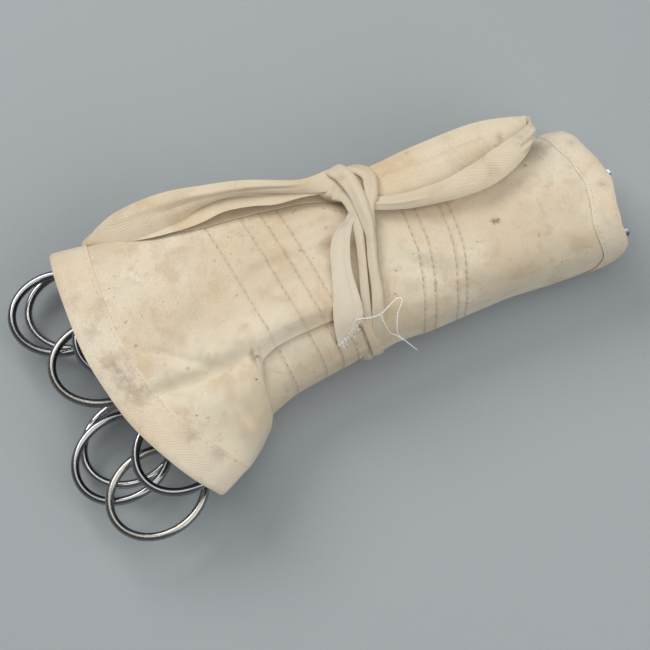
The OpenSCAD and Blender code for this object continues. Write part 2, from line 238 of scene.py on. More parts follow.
MOUTH_X = (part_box("wrap_cloth")[0] / MM).x
TIE_X = sum((corner / MM).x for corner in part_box("tie_band")) / 2
TIE_LIFT = 0.8
BINDING_LIFT = 0.6
TURN_PITCH = 1.5
TURN_REF = 200
CLOTH_T = 0.5
TAPE_T = 0.45
MOUTH_BINDING_W = 12.3
TIP_BINDING_W = 8.4
SQUARE = 3.2
NEAR_UNDER_SQUARE = 2.2
INNER_START = -526
INNER_MOUTH_X = -56
HALF_H = 21.7
UNDER_INSET = TURN_PITCH * (TURN_REF + 90) / 360
MID_Z = HALF_H - UNDER_INSET - 0.6
CLOTH_SHARP = 75
# Tables of (x, value), or (angle, value) for the rim.
FAR_Y = [(-98, 53.2), (-75, 49.6), (-60, 47.4), (-45, 46.2), (-30, 44.4), (-10, 40.6), (5, 36.8),
         (40, 32.8),
         (78, 30.2), (95, 26.6)]
NEAR_Y = [(-98, -53.2), (-66, -39.6), (-36, -26.8), (-20, -23.2), (-10, -21.5), (5, -20.1), (20, -19),
          (40, -18.5),
          (60, -18.5), (78, -18.8), (95, -18.9)]
FLARE = [(-75, 10.2), (-58, 8.6), (-45, 1.6), (-40, 0)]
END_ANGLE = [(-98, 153), (-75, 157.4), (-58, 170.4), (-47.5, 204), (-46, 196), (-44.6, 160),
             (-43.4, 130), (-41.5, 121.5),
             (-36, 120.6), (-6, 122.2), (-2, 209.5), (95, 211)]
VALLEY_Y = [(-98, -14), (-80, -12.5), (-60, -12), (-44, -10.8), (-26, -9.8), (-12, -9.2), (10, -9)]
BULGE = [(-92, 0), (-78, 1.2), (-48, 2.6), (-20, 2), (-8, 0.9), (0, 0)]
GROOVE = [(-92, 0), (-80, 1.6), (-64, 3.3), (-56, 3.2), (-50, 2.5), (-43, 0.9), (-38, 0)]
SLACK = [(-80, 0), (-66, 1.6), (-50, 1.8), (-44, 0.6), (-41, 0)]
TIP_RIM = [(-90, 92.5), (-45, 92), (0, 90.5), (20, 89), (35, 88), (45, 88.8), (60, 90.2), (70, 92),
           (80, 93),
           (90, 94.4), (105, 93.4), (115, 92.4), (125, 91.7), (140, 92.2), (150, 92.8), (168, 92.8),
           (185, 90.5),
           (210, 88.5), (240, 90.5), (270, 92.5)]
# Each crease: its points (x, y), its depth and its width.
CREASES = [
    ([(-79, 3), (-72, 0), (-66, -5.5), (-60, -8.6)], 0.9, 1.8),
    ([(-52, -16.8), (-54.5, -24), (-52.5, -30)], 1.1, 2.4),
    ([(-4, 24), (-16, 22), (-28, 24)], 1.3, 2.4),
    ([(-5, 14), (-18, 17), (-33, 15)], 0.9, 2.6),
    ([(16, 2), (24, -6), (33, -9)], 1, 2.8),
    ([(17, -9), (28, -13), (36, -13)], 0.7, 2.6),
    ([(-70, 33), (-62, 36), (-50, 37)], 0.7, 2.6),
    ([(48, 8), (58, 12), (70, 11)], 0.5, 4),
]


def section(angle):
    """A unit rounded square, rounder below the near side: the point at this angle from its centre."""
    c, s = cos(radians(angle)), sin(radians(angle))
    power = NEAR_UNDER_SQUARE if c < 0 and s < 0 else SQUARE
    r = (abs(c) ** power + abs(s) ** power) ** (-1 / power)
    return c * r, s * r


def mid_y(x):
    return (smooth_lookup(x, FAR_Y) + smooth_lookup(x, NEAR_Y)) / 2


def half_w(x):
    return (smooth_lookup(x, FAR_Y) - smooth_lookup(x, NEAR_Y)) / 2


def side_y(x, angle):
    """How far to the side the roll reaches at this angle, before its folds."""
    return mid_y(x) + half_w(x) * section(angle)[0]


def end_angle(x):
    return lookup(x, END_ANGLE)


def under_z(x):
    """Height of the cloth's flat underside, which the tie and the two bindings lift."""
    bindings = soft((-36 - x) / 6) + soft((x - 60) / 20)
    return TIE_LIFT * soft((15 - abs(x - TIE_X)) / 5.5) + BINDING_LIFT * bindings


def shared_relief(x, angle):
    """How far every turn of cloth stands out or sinks here: the tie's pinch, its folds and slack."""
    a = radians(angle)
    c, s = cos(a), sin(a)
    from_tie = abs(x - TIE_X)
    out = -1.2 * bump_at(from_tie, 8)
    out += 0.8 * bump_at(from_tie, 26) * ripple(x * 0.035, c * 3.6, s * 3.6, 1)
    out += 1.3 * ripple(x * 0.028, c * 0.9, s * 0.9, 2)
    drag = ripple(x * 0.05 + angle * 0.016, angle * 0.055 - x * 0.02, 0, 3)
    out += 0.42 * drag * (1 - 0.4 * bump_at(x - 60, 25))
    out += 0.16 * ripple(x * 0.16, c * 3.4, s * 3.4, 4)
    return out + 0.9 * soft((x - 74) / 18) * sin(3 * a + 0.6) * (0.6 + 0.4 * s)


def distance_to(x, y, points):
    best = 1e9
    for (ax, ay), (bx, by) in zip(points, points[1:]):
        dx, dy = bx - ax, by - ay
        t = max(0, min(1, ((x - ax) * dx + (y - ay) * dy) / (dx * dx + dy * dy)))
        best = min(best, hypot(x - ax - t * dx, y - ay - t * dy))
    return best


def top_relief(x, y, angle):
    """Height added to the outer turn where it can be seen from above."""
    upper = soft((angle - 20) / 30)
    lift = 1.6 * max(0, 1 - ((y - mid_y(x)) / half_w(x)) ** 2) * upper
    beside = y - smooth_lookup(x, VALLEY_Y)
    lift += lookup(x, BULGE) * bump_at(beside - 6.5, 6) * upper
    lift -= lookup(x, GROOVE) * bump_at(beside, 2.5)
    lift += lookup(x, SLACK) * bump_at(beside + 9, 6)
    for points, depth, width in CREASES:
        gap = distance_to(x, y, points)
        if gap < 4 * width:
            lift -= depth * bump_at(gap, width)
            lift += depth * 0.5 * bump_at(gap - 1.9 * width, width)
    return lift


def wrap_point(x, angle, inset):
    """A point of the rolled cloth: x along it, angle round it, inset from the outer face."""
    c, s = section(angle)
    out = shared_relief(x, angle) - (inset + TURN_PITCH * (TURN_REF - angle) / 360)
    flare = lookup(x, FLARE) * soft((angle - 90) / 68)
    y = mid_y(x) + (half_w(x) + out) * c - flare
    z = MID_Z + (HALF_H + out) * s
    outer = soft((angle - 10) / 20)
    if outer > 0:
        z += outer * top_relief(x, y, angle)
    if angle > 95:
        reach = (end_angle(x) - angle) / 360 * 160
        flap = soft((-42 - x) / 3)
        tuck = mix(1.9, 1.7, flap) * soft(1 - reach / 3.2) * (1 - 0.8 * bump_at(x + 44.5, 3))
        y += tuck * 0.5 * flap
        z -= tuck * mix(1, 0.6, flap)
    turns_under = max(0, round((-90 - angle) / 360))
    floor_z = under_z(x) + inset + TURN_PITCH * turns_under
    return Vector((x, y, max(z, floor_z)))


def rim_x(y):
    """The mouth's rim, nearly straight on the far side and swept back on the near side."""
    if y > 22:
        return MOUTH_X + 0.9 + 2 * ((y - 22) / 30) ** 2
    return MOUTH_X + 0.9 + 22.4 * ((22 - y) / 72) ** 1.9


def left_x(angle):
    y = side_y(-88, angle)
    if angle > 90:
        y -= lookup(-75, FLARE) * soft((angle - 90) / 68)
    wave = 0.5 * ripple(angle * 0.05, 0, 0, 7) * soft((angle + 20) / 40)
    return mix(INNER_MOUTH_X, rim_x(y) + wave, soft((angle + 40) / 55))


def right_x(angle):
    turned = (angle + 90) % 360 - 90
    deeper = 0.6 * soft((90 - angle) / 180)
    return smooth_lookup(turned, TIP_RIM) - 1.1 - deeper + 0.5 * ripple(angle * 0.05, 0, 0, 8)


# ---- The sheet of cloth and its bindings ----

inner_angles = list(np.arange(INNER_START, -100, 5.0)) + list(np.arange(-100, 90, 2.2))
OUTER_STEPS = 62
turn_rows = len(inner_angles) + OUTER_STEPS + 1
# Columns (first x, last x, step) are closest together where the sheet's end angle changes fast.
COLUMN_RUNS = [(-51, -46.2, 1), (-46.2, -41.6, 0.3), (-41.6, -7, 1.25), (-7, -1, 0.4), (-1, 79, 1.25)]
middle_x = [x for run in COLUMN_RUNS for x in np.arange(*run)]
MOUTH_COLUMNS = 38
TIP_COLUMNS = 12
MOUTH_ROWS_X = -80
TIP_ROWS_X = 90


def angle_at(row, x):
    if row < len(inner_angles):
        return inner_angles[row]
    return mix(90, end_angle(x), (row - len(inner_angles)) / OUTER_STEPS)


def columns_for(angle):
    mouth, tip = left_x(angle), right_x(angle)
    start = [mix(mouth, middle_x[0], k / MOUTH_COLUMNS) for k in range(MOUTH_COLUMNS)]
    end = [mix(middle_x[-1], tip, (k + 1) / TIP_COLUMNS) for k in range(TIP_COLUMNS)]
    return start + middle_x + end


def grain(x):
    """Running slant of the twill, which turns as the roll widens."""
    return 0.45 * x if x < -45 else 0.45 * x + 0.75 * (x + 45) * soft((x + 45) / 90)


def wrap_cloth():
    """The rolled sheet. Its texture runs round it from the start of the outer turn."""
    outer = []
    for row in range(turn_rows):
        columns = columns_for(angle_at(row, MOUTH_ROWS_X))
        outer.append([wrap_point(x, angle_at(row, x), 0) for x in columns])
    g, n = normals_of(outer)
    steps = np.linalg.norm(np.diff(g, axis=0), axis=2)
    around = np.vstack([np.zeros(g.shape[1]), np.cumsum(steps, axis=0)])
    around -= around[len(inner_angles) - 1]
    uvs = [[(u + grain(p[0]), p[0]) for u, p in zip(*row)] for row in zip(around, g)]
    return sheet("roll_wrap_cloth", g.tolist(), (g - n * CLOTH_T).tolist(), uvs, CLOTH_SHARP)


def binding(end, edge_x, side, tape_w):
    """Tape folded over an edge of the cloth: side is +1 at the mouth and -1 at the tip end."""
    outer, inner, uvs = [], [], []
    along = 0.0
    for row in range(turn_rows):
        angle = angle_at(row, MOUTH_ROWS_X if side > 0 else TIP_ROWS_X)
        edge = edge_x(angle)
        inward = edge + side * (tape_w + 0.5 * ripple(angle * 0.04, side, 0, 9))
        swell = 0.12 * ripple(angle * 0.2, side, 0, 10)
        # Each place: x, inset, and the step through the tape's thickness to its outer face.
        over, under = [], []
        for v in shares(9):
            arch = sin(pi * v)
            over.append((mix(inward, edge, v), -0.06 - (0.22 * arch**0.7 + swell * arch), 0, -TAPE_T))
            under.append((mix(edge, inward, v), CLOTH_T + 0.06, 0, TAPE_T))
        places = over + [(edge - side * 0.6, CLOTH_T / 2, -side * TAPE_T, 0)] + under
        inner.append([wrap_point(x, angle, inset) for x, inset, _, _ in places])
        outer.append([wrap_point(x + dx, angle, inset + out) for x, inset, dx, out in places])
        if row:
            along += (outer[-1][0] - outer[-2][0]).length
        uvs.append([(along, (place[0] - edge) * side) for place in places])
    grids = (inner, outer) if side > 0 else (outer, inner)
    return sheet(f"roll_{end}_binding", *grids, uvs, CLOTH_SHARP)


def inner_band(name, first_x, last_x):
    """A strip sewn inside the innermost turn, to hold the instruments."""
    xs = np.linspace(first_x, last_x, 12)
    angles = np.arange(INNER_START + 16, INNER_START + 317, 4.0)
    outer = [[wrap_point(x, a, CLOTH_T + 0.15) for x in xs] for a in angles]
    inner = [[wrap_point(x, a, CLOTH_T * 2 + 0.15) for x in xs] for a in angles]
    uvs = [[(a * 0.35 + x * 0.8, x) for x in xs] for a in angles]
    return sheet(name, outer, inner, uvs, 60)


# ---- Stitches and threads ----

BAND_ROWS = [-43.2, -31, -24.2, -18.4, 21.2, 25.4, 33.6, 36.8]
ROW_LEAN, LEAN_FROM_Y = 0.155, 39
ROW_BOW, BOW_FROM_Y, BOW_REACH, BOW_POWER = 8, 6, 30, 1.6
SEAM_PITCH = 2.7
HEM_PITCH = 2.4


def stitch_mesh(name, places):
    """Separate stitches: each place is (centre, direction along the row, outward normal, length)."""
    verts, faces = [], []
    for centre, along, out, length in places:
        along = along.normalized()
        side = out.cross(along).normalized()
        up = along.cross(side).normalized()
        faces += tube_faces(5, 6, len(verts))
        for u in shares(5):
            r = 0.17 * (0.35 + 0.65 * sin(pi * (0.12 + 0.76 * u)))
            sink = 0.22 * (2 * u - 1) ** 2
            c = centre + along * (u - 0.5) * length - up * sink
            verts += [c + side * cos(a) * r * 1.1 + up * sin(a) * r for a in turns(6)]
    return add_mesh(name, verts, faces)


def row_of_stitches(line, pitch):
    """Places along a polyline of (point, normal) pairs, one for each stitch."""
    places = []
    travelled = 0.0
    due = pitch / 2
    for (a, na), (b, nb) in zip(line, line[1:]):
        step = (b - a).length
        while travelled + step > due and step > 0:
            t = (due - travelled) / step
            wobble = Vector((rng.uniform(-0.12, 0.12), 0, 0))
            length = pitch * rng.uniform(0.68, 0.86)
            places.append((a.lerp(b, t) + wobble, b - a, na.lerp(nb, t), length))
            due += pitch * rng.uniform(0.92, 1.08)
        travelled += step
    return places


def surface_line(x_of, angles, lift):
    """(point, normal) pairs round the roll, lifted off the cloth."""
    line = []
    for angle in angles:
        x = x_of(angle)
        p = wrap_point(x, angle, -lift)
        q = wrap_point(x, angle + 0.5, -lift)
        r = wrap_point(x + 0.3, angle, -lift)
        line.append((p, (q - p).cross(r - p).normalized()))
    return line


def stitch_slant(x, y):
    """Rows of stitches lean where the cloth is rolled at an angle, and bow on the tip half."""
    if x < TIE_X:
        return x + ROW_LEAN * (LEAN_FROM_Y - y)
    return x + 1 - ROW_BOW * max(0, (BOW_FROM_Y - y) / BOW_REACH) ** BOW_POWER


def band_stitching():
    places = []
    for row_x in BAND_ROWS:
        def x_of(angle):
            return stitch_slant(row_x, side_y(row_x, angle)) + 0.25 * ripple(angle * 0.06, row_x, 0, 12)
        last_turn = [a for a in np.arange(-40, 208, 1.5) if a < end_angle(x_of(a)) - 5]
        places += row_of_stitches(surface_line(x_of, last_turn, 0.1), SEAM_PITCH)
        if row_x < TIE_X:
            turn_below = np.arange(118 - 360, 205 - 360, 1.5)
            places += row_of_stitches(surface_line(x_of, turn_below, 0.1), SEAM_PITCH)
    return stitch_mesh("roll_band_stitching", places)


def binding_stitching():
    """One row along each binding, close to its inner edge."""
    places = []
    mouth = (left_x, MOUTH_ROWS_X, -30, MOUTH_BINDING_W - 1.3)
    tip = (right_x, TIP_ROWS_X, -70, 1.1 - TIP_BINDING_W)
    for edge_x, rows_x, first_angle, inward in (mouth, tip):
        angles = [angle_at(row, rows_x) for row in range(turn_rows)]
        seen = [a for a in angles if a > first_angle]
        places += row_of_stitches(surface_line(lambda a: edge_x(a) + inward, seen, TAPE_T + 0.12), HEM_PITCH)
    return stitch_mesh("roll_binding_stitching", places)


def thread(verts, faces, points, radius, count, around):
    """Adds a thin round thread along the points to a mesh's vertices and faces."""
    path = path_points(points, count)
    faces += tube_faces(count, around, len(verts))
    leaning = Vector((0.3, 0.2, 1)).normalized()
    for i, p in enumerate(path):
        t = step_at(path, i).normalized()
        side = t.cross(leaning).normalized()
        up = side.cross(t)
        for k in range(around):
            a = 2 * pi * k / around + i * 0.5
            r = radius * (1 + 0.18 * cos(2 * (a - i * 0.9)))
            verts.append(p + side * cos(a) * r + up * sin(a) * r)


# ---- Tape ----


def tape(name, first_edge, second_edge, camber, count, across, thickness=0.55, pleats=()):
    """A length of tape between two edge curves. camber bows it between its edges, in millimetres.
    Each pleat: its place across the tape (-1 to 1), depth, width, and start and end along the tape."""
    first, second = path_points(first_edge, count), path_points(second_edge, count)
    middle = [(a + b) / 2 for a, b in zip(first, second)]
    bows = values_along(camber, count)
    grid, uvs = [], []
    along = 0.0
    for i, (a, b) in enumerate(zip(first, second)):
        step = step_at(middle, i)
        normal = (b - a).cross(step.normalized()).normalized()
        if i:
            along += step.length / 2
        row = []
        for u in shares(across):
            v = 2 * u - 1
            lift = bows[i] * (1 - v * v)
            for place, depth, width, start, end in pleats:
                fade = soft((i / count - start) / 0.12) * soft((end - i / count) / 0.12)
                lift -= depth * fade * bump_at(v - place, width)
            lift += 0.22 * ripple(along * 0.11, v * 0.7, len(name), 14)
            row.append(a.lerp(b, u) + normal * lift)
        grid.append(row)
        uvs.append([(along, (2 * u - 1) * 9) for u in shares(across)])
    g, n = normals_of(grid)
    edge = np.array([0.5 + 0.5 * min(1, 3.0 * (1 - abs(2 * u - 1))) for u in shares(across)])
    half = thickness / 2 * edge[None, :, None]
    return sheet(name, (g + n * half).tolist(), (g - n * half).tolist(), uvs, CLOTH_SHARP)


def gathered(name, points, widths, depths, facing, pleat, folds, count=70, around=30):
    """A rope of gathered tape: an oval section with lengthwise folds. facing holds the directions
    that its wide side faces."""
    path = path_points(points, count)
    wide, deep = values_along(widths, count), values_along(depths, count)
    ups = path_points(facing, count) if len(facing) > 1 else [Vector(facing[0])] * count
    verts, uvs = [], []
    along = 0.0
    for i, p in enumerate(path):
        t = step_at(path, i).normalized()
        if i:
            along += (p - path[i - 1]).length
        up = (ups[i] - t * ups[i].dot(t)).normalized()
        side = up.cross(t).normalized()
        for a in turns(around):
            c, s = cos(a), sin(a)
            groove = 1 + pleat * cos(folds * a + 0.7 * sin(along * 0.12)) * (1 - 0.5 * abs(c))
            groove += 0.05 * ripple(along * 0.2, c, s, 15)
            right, high = copysign(abs(c) ** 0.8, c), copysign(abs(s) ** 0.8, s)
            verts.append(p + side * wide[i] / 2 * right * groove + up * deep[i] / 2 * high * groove)
            uvs.append((along, 9 * c))
    return add_mesh(name, verts, tube_faces(count, around), uvs, 80)


# ---- Tie, bow and thread ----


def outer_point(x, theta, lift):
    """A point lift millimetres outside the rolled cloth, theta degrees round it."""
    if theta < 200:
        return wrap_point(x, theta, -lift)
    step = soft((theta - 190) / 20) * soft((250 - theta) / 36)
    return wrap_point(x, theta - 360, -lift - TURN_PITCH * step)


def under_band():
    """The tape's flat length: down the near side, under the roll and up its far side."""
    left_edge = [(192, -5.2), (215, -5.6), (240, -5), (310, -3.5), (345, 1.5), (385, 4.5), (402, 5.5)]
    right_edge = [(192, -0.6), (204, 0.8), (215, 3), (240, 7), (285, 13.2), (330, 12.8), (385, 11.5),
                  (402, 11.5)]
    outer, inner, uvs = [], [], []
    for theta in np.arange(192, 402.1, 3.0):
        left, right = lookup(theta, left_edge), lookup(theta, right_edge)
        places = []
        for v in shares(15):
            lift = mix(-0.75, 0.32, soft((theta - 192) / 20)) + 0.25 * sin(pi * v) ** 2
            lift += 0.2 * ripple(theta * 0.05, v * 2, 0, 21)
            places.append((mix(left, right, v), 0.22 if 240 < theta < 300 else lift))
        inner.append([outer_point(x, theta, lift) for x, lift in places])
        outer.append([outer_point(x, theta, lift + 0.42) for x, lift in places])
        uvs.append([(theta * 0.42, 18 * v - 9) for v in shares(15)])
    return sheet("roll_tie_band", inner, outer, uvs, CLOTH_SHARP)


def strands():
    """Two gathered runs of the tie over the top, side by side, going into the knot."""
    facing = [(0, -1, -0.3), (0, -1, 0), (0, -1, 0.1), (0, -0.8, 0.6), (0, -0.4, 0.9), (0, -0.1, 1),
              (0, 0, 1), (0, 0, 1)]
    right = gathered(
        "roll_tie_strand_right",
        [(0.2, -12.4, 3.5), (-0.6, -16.8, 8.5), (-1.3, -19.2, 15), (-1.5, -19.7, 22),
         (-0.8, -17.5, 32.5), (0.7, -14, 38.6),
         (3.1, -7, 43.3), (5.9, 4.5, 44.9), (7.8, 10.5, 45.6), (9.3, 16.7, 46.4), (9.6, 22, 47)],
        [5.4, 5.2, 5, 4.8, 4.6, 4.2, 4, 3.6, 3.5, 3.6, 3.6],
        [1.4, 1.6, 2, 2.3, 2.5, 2.6, 2.6, 2.6, 2.8, 3, 3],
        facing, pleat=0.1, folds=3)
    left = gathered(
        "roll_tie_strand_left",
        [(-4.6, -12.8, 3.5), (-4.9, -17.2, 8.5), (-5, -19.4, 15), (-4.8, -19.8, 22), (-4.1, -17.5, 32),
         (-2.9, -13, 38.6),
         (-0.9, -5.5, 42.9), (2.6, 5.7, 44.4), (5.4, 16.6, 45.2), (6.2, 23.2, 45.8), (5.2, 28.6, 45.8),
         (1.8, 31.5, 44.4)],
        [4.6, 4.4, 4.2, 4, 3.8, 3.6, 3.3, 3, 3, 3.6, 4, 3.4],
        [1.3, 1.5, 1.8, 2, 2.2, 2.2, 2.2, 2.2, 2.4, 2.6, 2.4, 2],
        facing, pleat=0.1, folds=3)
    return [right, left]


def knot():
    over = gathered(
        "roll_knot_over",
        [(8.6, 13, 45.8), (9.2, 19, 47.2), (9.3, 25.1, 48.2), (8.9, 30.4, 48.8), (7.8, 35, 48),
         (6.4, 38, 46.2),
         (5.4, 39.8, 43), (5.8, 39, 37), (6.6, 34.5, 30)],
        [3.4, 4.6, 5.4, 5.8, 6.4, 6.6, 6.4, 5.4, 4.6],
        [2.2, 2.8, 3.4, 3.6, 3.6, 3.4, 3.2, 2.8, 2.2],
        [(0, -0.2, 1), (0, -0.1, 1), (0, 0.1, 1), (0, 0.6, 0.8), (0, 1, 0.1), (0, 1, -0.2)],
        pleat=0.2, folds=3)
    lobe = gathered(
        "roll_knot_lobe",
        [(9.8, 15.5, 44.8), (11.1, 21.6, 46.4), (13.8, 26, 47.2), (15.4, 30.7, 47.4), (14.9, 34, 46.8),
         (12.6, 36.8, 45.2), (10.8, 38.4, 42), (10.4, 38, 37), (10, 33.5, 30)],
        [2.6, 3.8, 4.8, 5.2, 5.4, 5.4, 5, 4.2, 4],
        [2.4, 3, 3.4, 3.6, 3.6, 3.4, 3.2, 2.8, 2.2],
        [(0.3, 0, 1), (0.5, 0, 1), (0.5, 0.4, 0.9), (0.3, 1, 0.2), (0, 1, -0.2)], pleat=0.18, folds=3)
    core = gathered(
        "roll_knot_core",
        [(0.5, 36.5, 39.6), (5, 34.4, 42), (10, 33.6, 42.8), (15.5, 33, 42)],
        [8, 10.6, 11, 8], [7, 8.5, 8.4, 6.5], [(0, 0, 1)], pleat=0.1, folds=5)
    return [over, lobe, core]


LEFT_LOOP_RISE = [(-84, 0), (-75, 1.8), (-60, 4.2), (-40, 5.6), (-20, 5.2), (-6, 3), (4, 1)]
SIGHT_SLOPE = 0.268


def raised(points):
    """The left loop's points, moved up along the line of sight onto the roll's far shoulder."""
    moved = []
    for x, y, z in points:
        rise = lookup(x, LEFT_LOOP_RISE)
        back = SCREEN_AWAY * SIGHT_SLOPE * rise
        moved.append((x - back.x, y - back.y, z + rise))
    return moved


def left_loop():
    front = tape(
        "roll_left_loop_front",
        raised([(7.4, 40.4, 42), (4.4, 41.1, 43), (-7, 41.5, 42.2), (-24.6, 48.5, 41), (-40.1, 52.9, 39),
                (-53.9, 56, 36.5), (-67.6, 56.5, 33.5), (-76.2, 54.8, 31), (-82.8, 51.6, 29.4)]),
        raised([(7.4, 33, 43), (4.4, 32.7, 43.4), (-8.2, 37.2, 40.4), (-20, 42.8, 37.6), (-31, 46.6, 35),
                (-41.5, 46.9, 33.5), (-50, 44.6, 33), (-62.8, 44.4, 32.2), (-72, 46.2, 31),
                (-82.4, 49.6, 29)]),
        [-0.3, -0.8, -1.4, -1.8, -2.2, -2.4, -2.4, -2, -1.2, -0.4],
        count=120, across=25, pleats=((-0.45, 0.7, 0.22, 0.1, 0.9), (0.05, -0.5, 0.2, 0.15, 0.75)))
    back = tape(
        "roll_left_loop_back",
        raised([(3.4, 33.4, 41.4), (-1.8, 34.5, 41), (-9.1, 35.9, 39.8), (-17.5, 37.2, 38.6),
                (-25.2, 39.8, 37.2),
         (-34.1, 41.8, 36), (-42.3, 41.2, 35), (-48.8, 41.6, 34), (-62, 43.4, 32.6), (-73, 46.6, 30.6),
         (-82.2, 50, 28.6)]),
        raised([(4.4, 38.6, 38), (-1.8, 40, 37.6), (-9.1, 41.4, 36), (-17.5, 43.4, 34), (-25.2, 46, 32),
         (-34.1, 48.4, 30.6), (-42.3, 49.6, 29.4), (-52, 50.4, 28.6), (-64, 51.8, 28), (-75, 53.4, 28),
         (-83.2, 51.2, 28.6)]),
        [0.6, 1, 1.4, 1.6, 1.6, 1.2, 1, 0.6, 0.4],
        count=110, across=15)
    fold = gathered(
        "roll_left_loop_fold",
        [(-80, 52.8, 29.6), (-82, 51.6, 29.2), (-83.4, 50.6, 28.9), (-82.4, 49.6, 28.6), (-80, 49, 28.8)],
        [1.6, 2.2, 2.6, 2.2, 1.4], [0.9, 1.1, 1.2, 1.1, 0.9], [(0, 0, 1)],
        count=24, around=14, pleat=0.05, folds=2)
    return [front, back, fold, shoulder_layer()]


def shoulder_layer():
    """The loop's underside, which lies on the roll's far shoulder in the shade of the upper layers."""
    near, far = [], []
    for x in np.arange(-56, 4.1, 4.0):
        spread = soft((x + 56) / 12)
        near.append(tuple(wrap_point(x, 39 + 6.5 * spread, -0.5)))
        far.append(tuple(wrap_point(x, 38 - 2 * spread, -1.0 - 1.4 * spread)))
    return tape("roll_left_loop_under", near, far, [0.2, 0.3, 0.2], count=60, across=9, thickness=0.5)


def right_loop():
    back = tape(
        "roll_right_loop_back",
        [(13, 36.2, 42.4), (16.5, 36.8, 43), (21.5, 37.2, 43), (30.4, 38.1, 43), (48.3, 38.9, 43),
         (58.6, 38.3, 43.6), (66, 36.4, 44.8), (74.2, 33.4, 46.6)],
        [(13, 27, 44.4), (16.5, 23.4, 45), (24, 20.4, 44.8), (36, 18, 44.6), (50, 18.4, 44.8),
         (60, 20.4, 45.2), (66.4, 22.2, 45.8), (71.4, 24.2, 46.6)],
        [1, 1.4, 2.2, 2.8, 2.6, 1.6, 0.6],
        count=100, across=25, pleats=((-0.35, 0.9, 0.12, 0.05, 0.85), (-0.1, -0.5, 0.3, 0.05, 0.85)))
    end = tape(
        "roll_right_loop_end",
        [(73.6, 33.6, 46.4), (74.8, 32.6, 47.1), (74.3, 30.8, 48), (71.6, 28.8, 49.3), (67.3, 27.3, 50.2)],
        [(70.6, 24.2, 46.5), (71.6, 23.4, 46.9), (71.2, 22.2, 47.3), (69.6, 20.6, 47.7),
         (67.2, 18.8, 48.2)],
        [-0.6, -1.2, -1.4, -1, -0.2],
        count=40, across=21, pleats=((-0.2, 0.7, 0.2, -0.2, 1.2), (0.45, 0.5, 0.16, -0.2, 1.2)))
    front = tape(
        "roll_right_loop_front",
        [(69.6, 27.9, 49.8), (67.3, 27.3, 50.2), (61.2, 25.8, 50.2), (56.7, 24.8, 50.2), (52.7, 23.6, 50.1),
         (40.4, 21.4, 49.6), (29.5, 21.6, 48.7), (21.1, 23, 47.6), (15, 25.2, 46.4), (11.4, 27.2, 45)],
        [(68.6, 19.8, 48), (67.4, 18.9, 48.2), (62.3, 16.4, 48.2), (56.3, 14.5, 48), (50.7, 13.6, 48),
         (43.1, 13.7, 48), (38.1, 14.3, 47.5), (24.4, 16.9, 46.6), (14.4, 20.4, 46), (10.4, 23, 44.8)],
        [-0.3, -0.8, -1.2, -1.2, -1, -0.8, -0.4],
        count=100, across=21, pleats=((0.1, 0.45, 0.2, 0.6, 1.2),))
    return [back, end, front]


def tail():
    return tape(
        "roll_tie_tail",
        [(4.6, 23.4, 46.2), (1.5, 20.5, 46.6), (-2, 19, 46.2), (-6.2, 13.5, 45.8), (-10.1, 1.5, 45.2),
         (-13, -6.3, 43.2), (-14.6, -12, 40.2), (-15.2, -17.4, 36)],
        [(6.4, 22.6, 46.4), (4.4, 19.4, 46.6), (1.1, 13.8, 46.4), (-2, 4.5, 46.2), (-3, -5.9, 45.2),
         (-3.7, -10.7, 43.2), (-5.2, -12.9, 41.2), (-9.6, -15.4, 37)],
        [0.6, 0.9, 1.1, 0.9, 0.5, 0.2],
        count=80, across=21, thickness=0.5, pleats=((0.55, 0.35, 0.1, -0.2, 1.2),))


def frayed_ends():
    """Fibres that stand out where the tail's tape has frayed."""
    verts, faces = [], []
    start, end = Vector((-15, -17.2, 36.2)), Vector((-5, -12.9, 41.2))
    for i in range(54):
        p = start.lerp(end, rng.random()) + Vector((0, 0.6, 0.25)) * rng.random()
        length = rng.uniform(0.8, 2.6)
        aim = Vector((rng.uniform(-0.3, 0.8), rng.uniform(-1.2, -0.5), rng.uniform(-0.9, 0.1)))
        bend = Vector((rng.uniform(-0.5, 0.5), rng.uniform(-0.3, 0.3), rng.uniform(-0.4, 0.2)))
        thread(verts, faces, [p, p + aim * length * 0.5, p + aim * length + bend * length * 0.5], 0.07, 8, 5)
    return add_mesh("roll_tail_fray", verts, faces)


def loose_thread():
    verts, faces = [], []
    thread(verts, faces,
           [(-7, -12.2, 42.4), (-4.8, -12.6, 42.6), (-2, -13.6, 43.6), (1.6, -13.8, 44.2), (5.1, -12.4, 45),
            (8.6, -10.9, 45), (10.2, -11.6, 44.6), (9.1, -13.3, 44), (7.4, -15.1, 42.4), (5.9, -18.1, 40.4),
            (5.3, -20.8, 37), (7.6, -23.6, 33), (10.4, -26.2, 28)],
           0.2, 110, 7)
    thread(verts, faces,
           [(1.4, -13.8, 44.5), (1.8, -17.1, 42.4), (2.7, -19.8, 39.4), (4.7, -21.2, 37),
            (6.4, -22.8, 34.6)],
           0.18, 40, 7)
    return add_mesh("roll_loose_thread", verts, faces)


# ---- Steel instruments ----

RING_CENTRE_Y = 18.5
RING_LONG, RING_SHORT, RING_TILT = 17.4, 14.4, 9
STEEL_SHARP = 40
SHANK = [(7, 2.3), (30, 2.7), (58, 3.4), (78, 5.2), (95, 9)]
SHANK_WIDTHS = [3.6, 3.6, 3.6, 3.7, 3.8, 3.7, 3.6, 3.4, 3.4, 3.4]
SHANK_HEIGHTS = [2.5, 2.5, 2.6, 3.4, 3.8, 3.8, 3.7, 3.5, 3.4, 3.3]
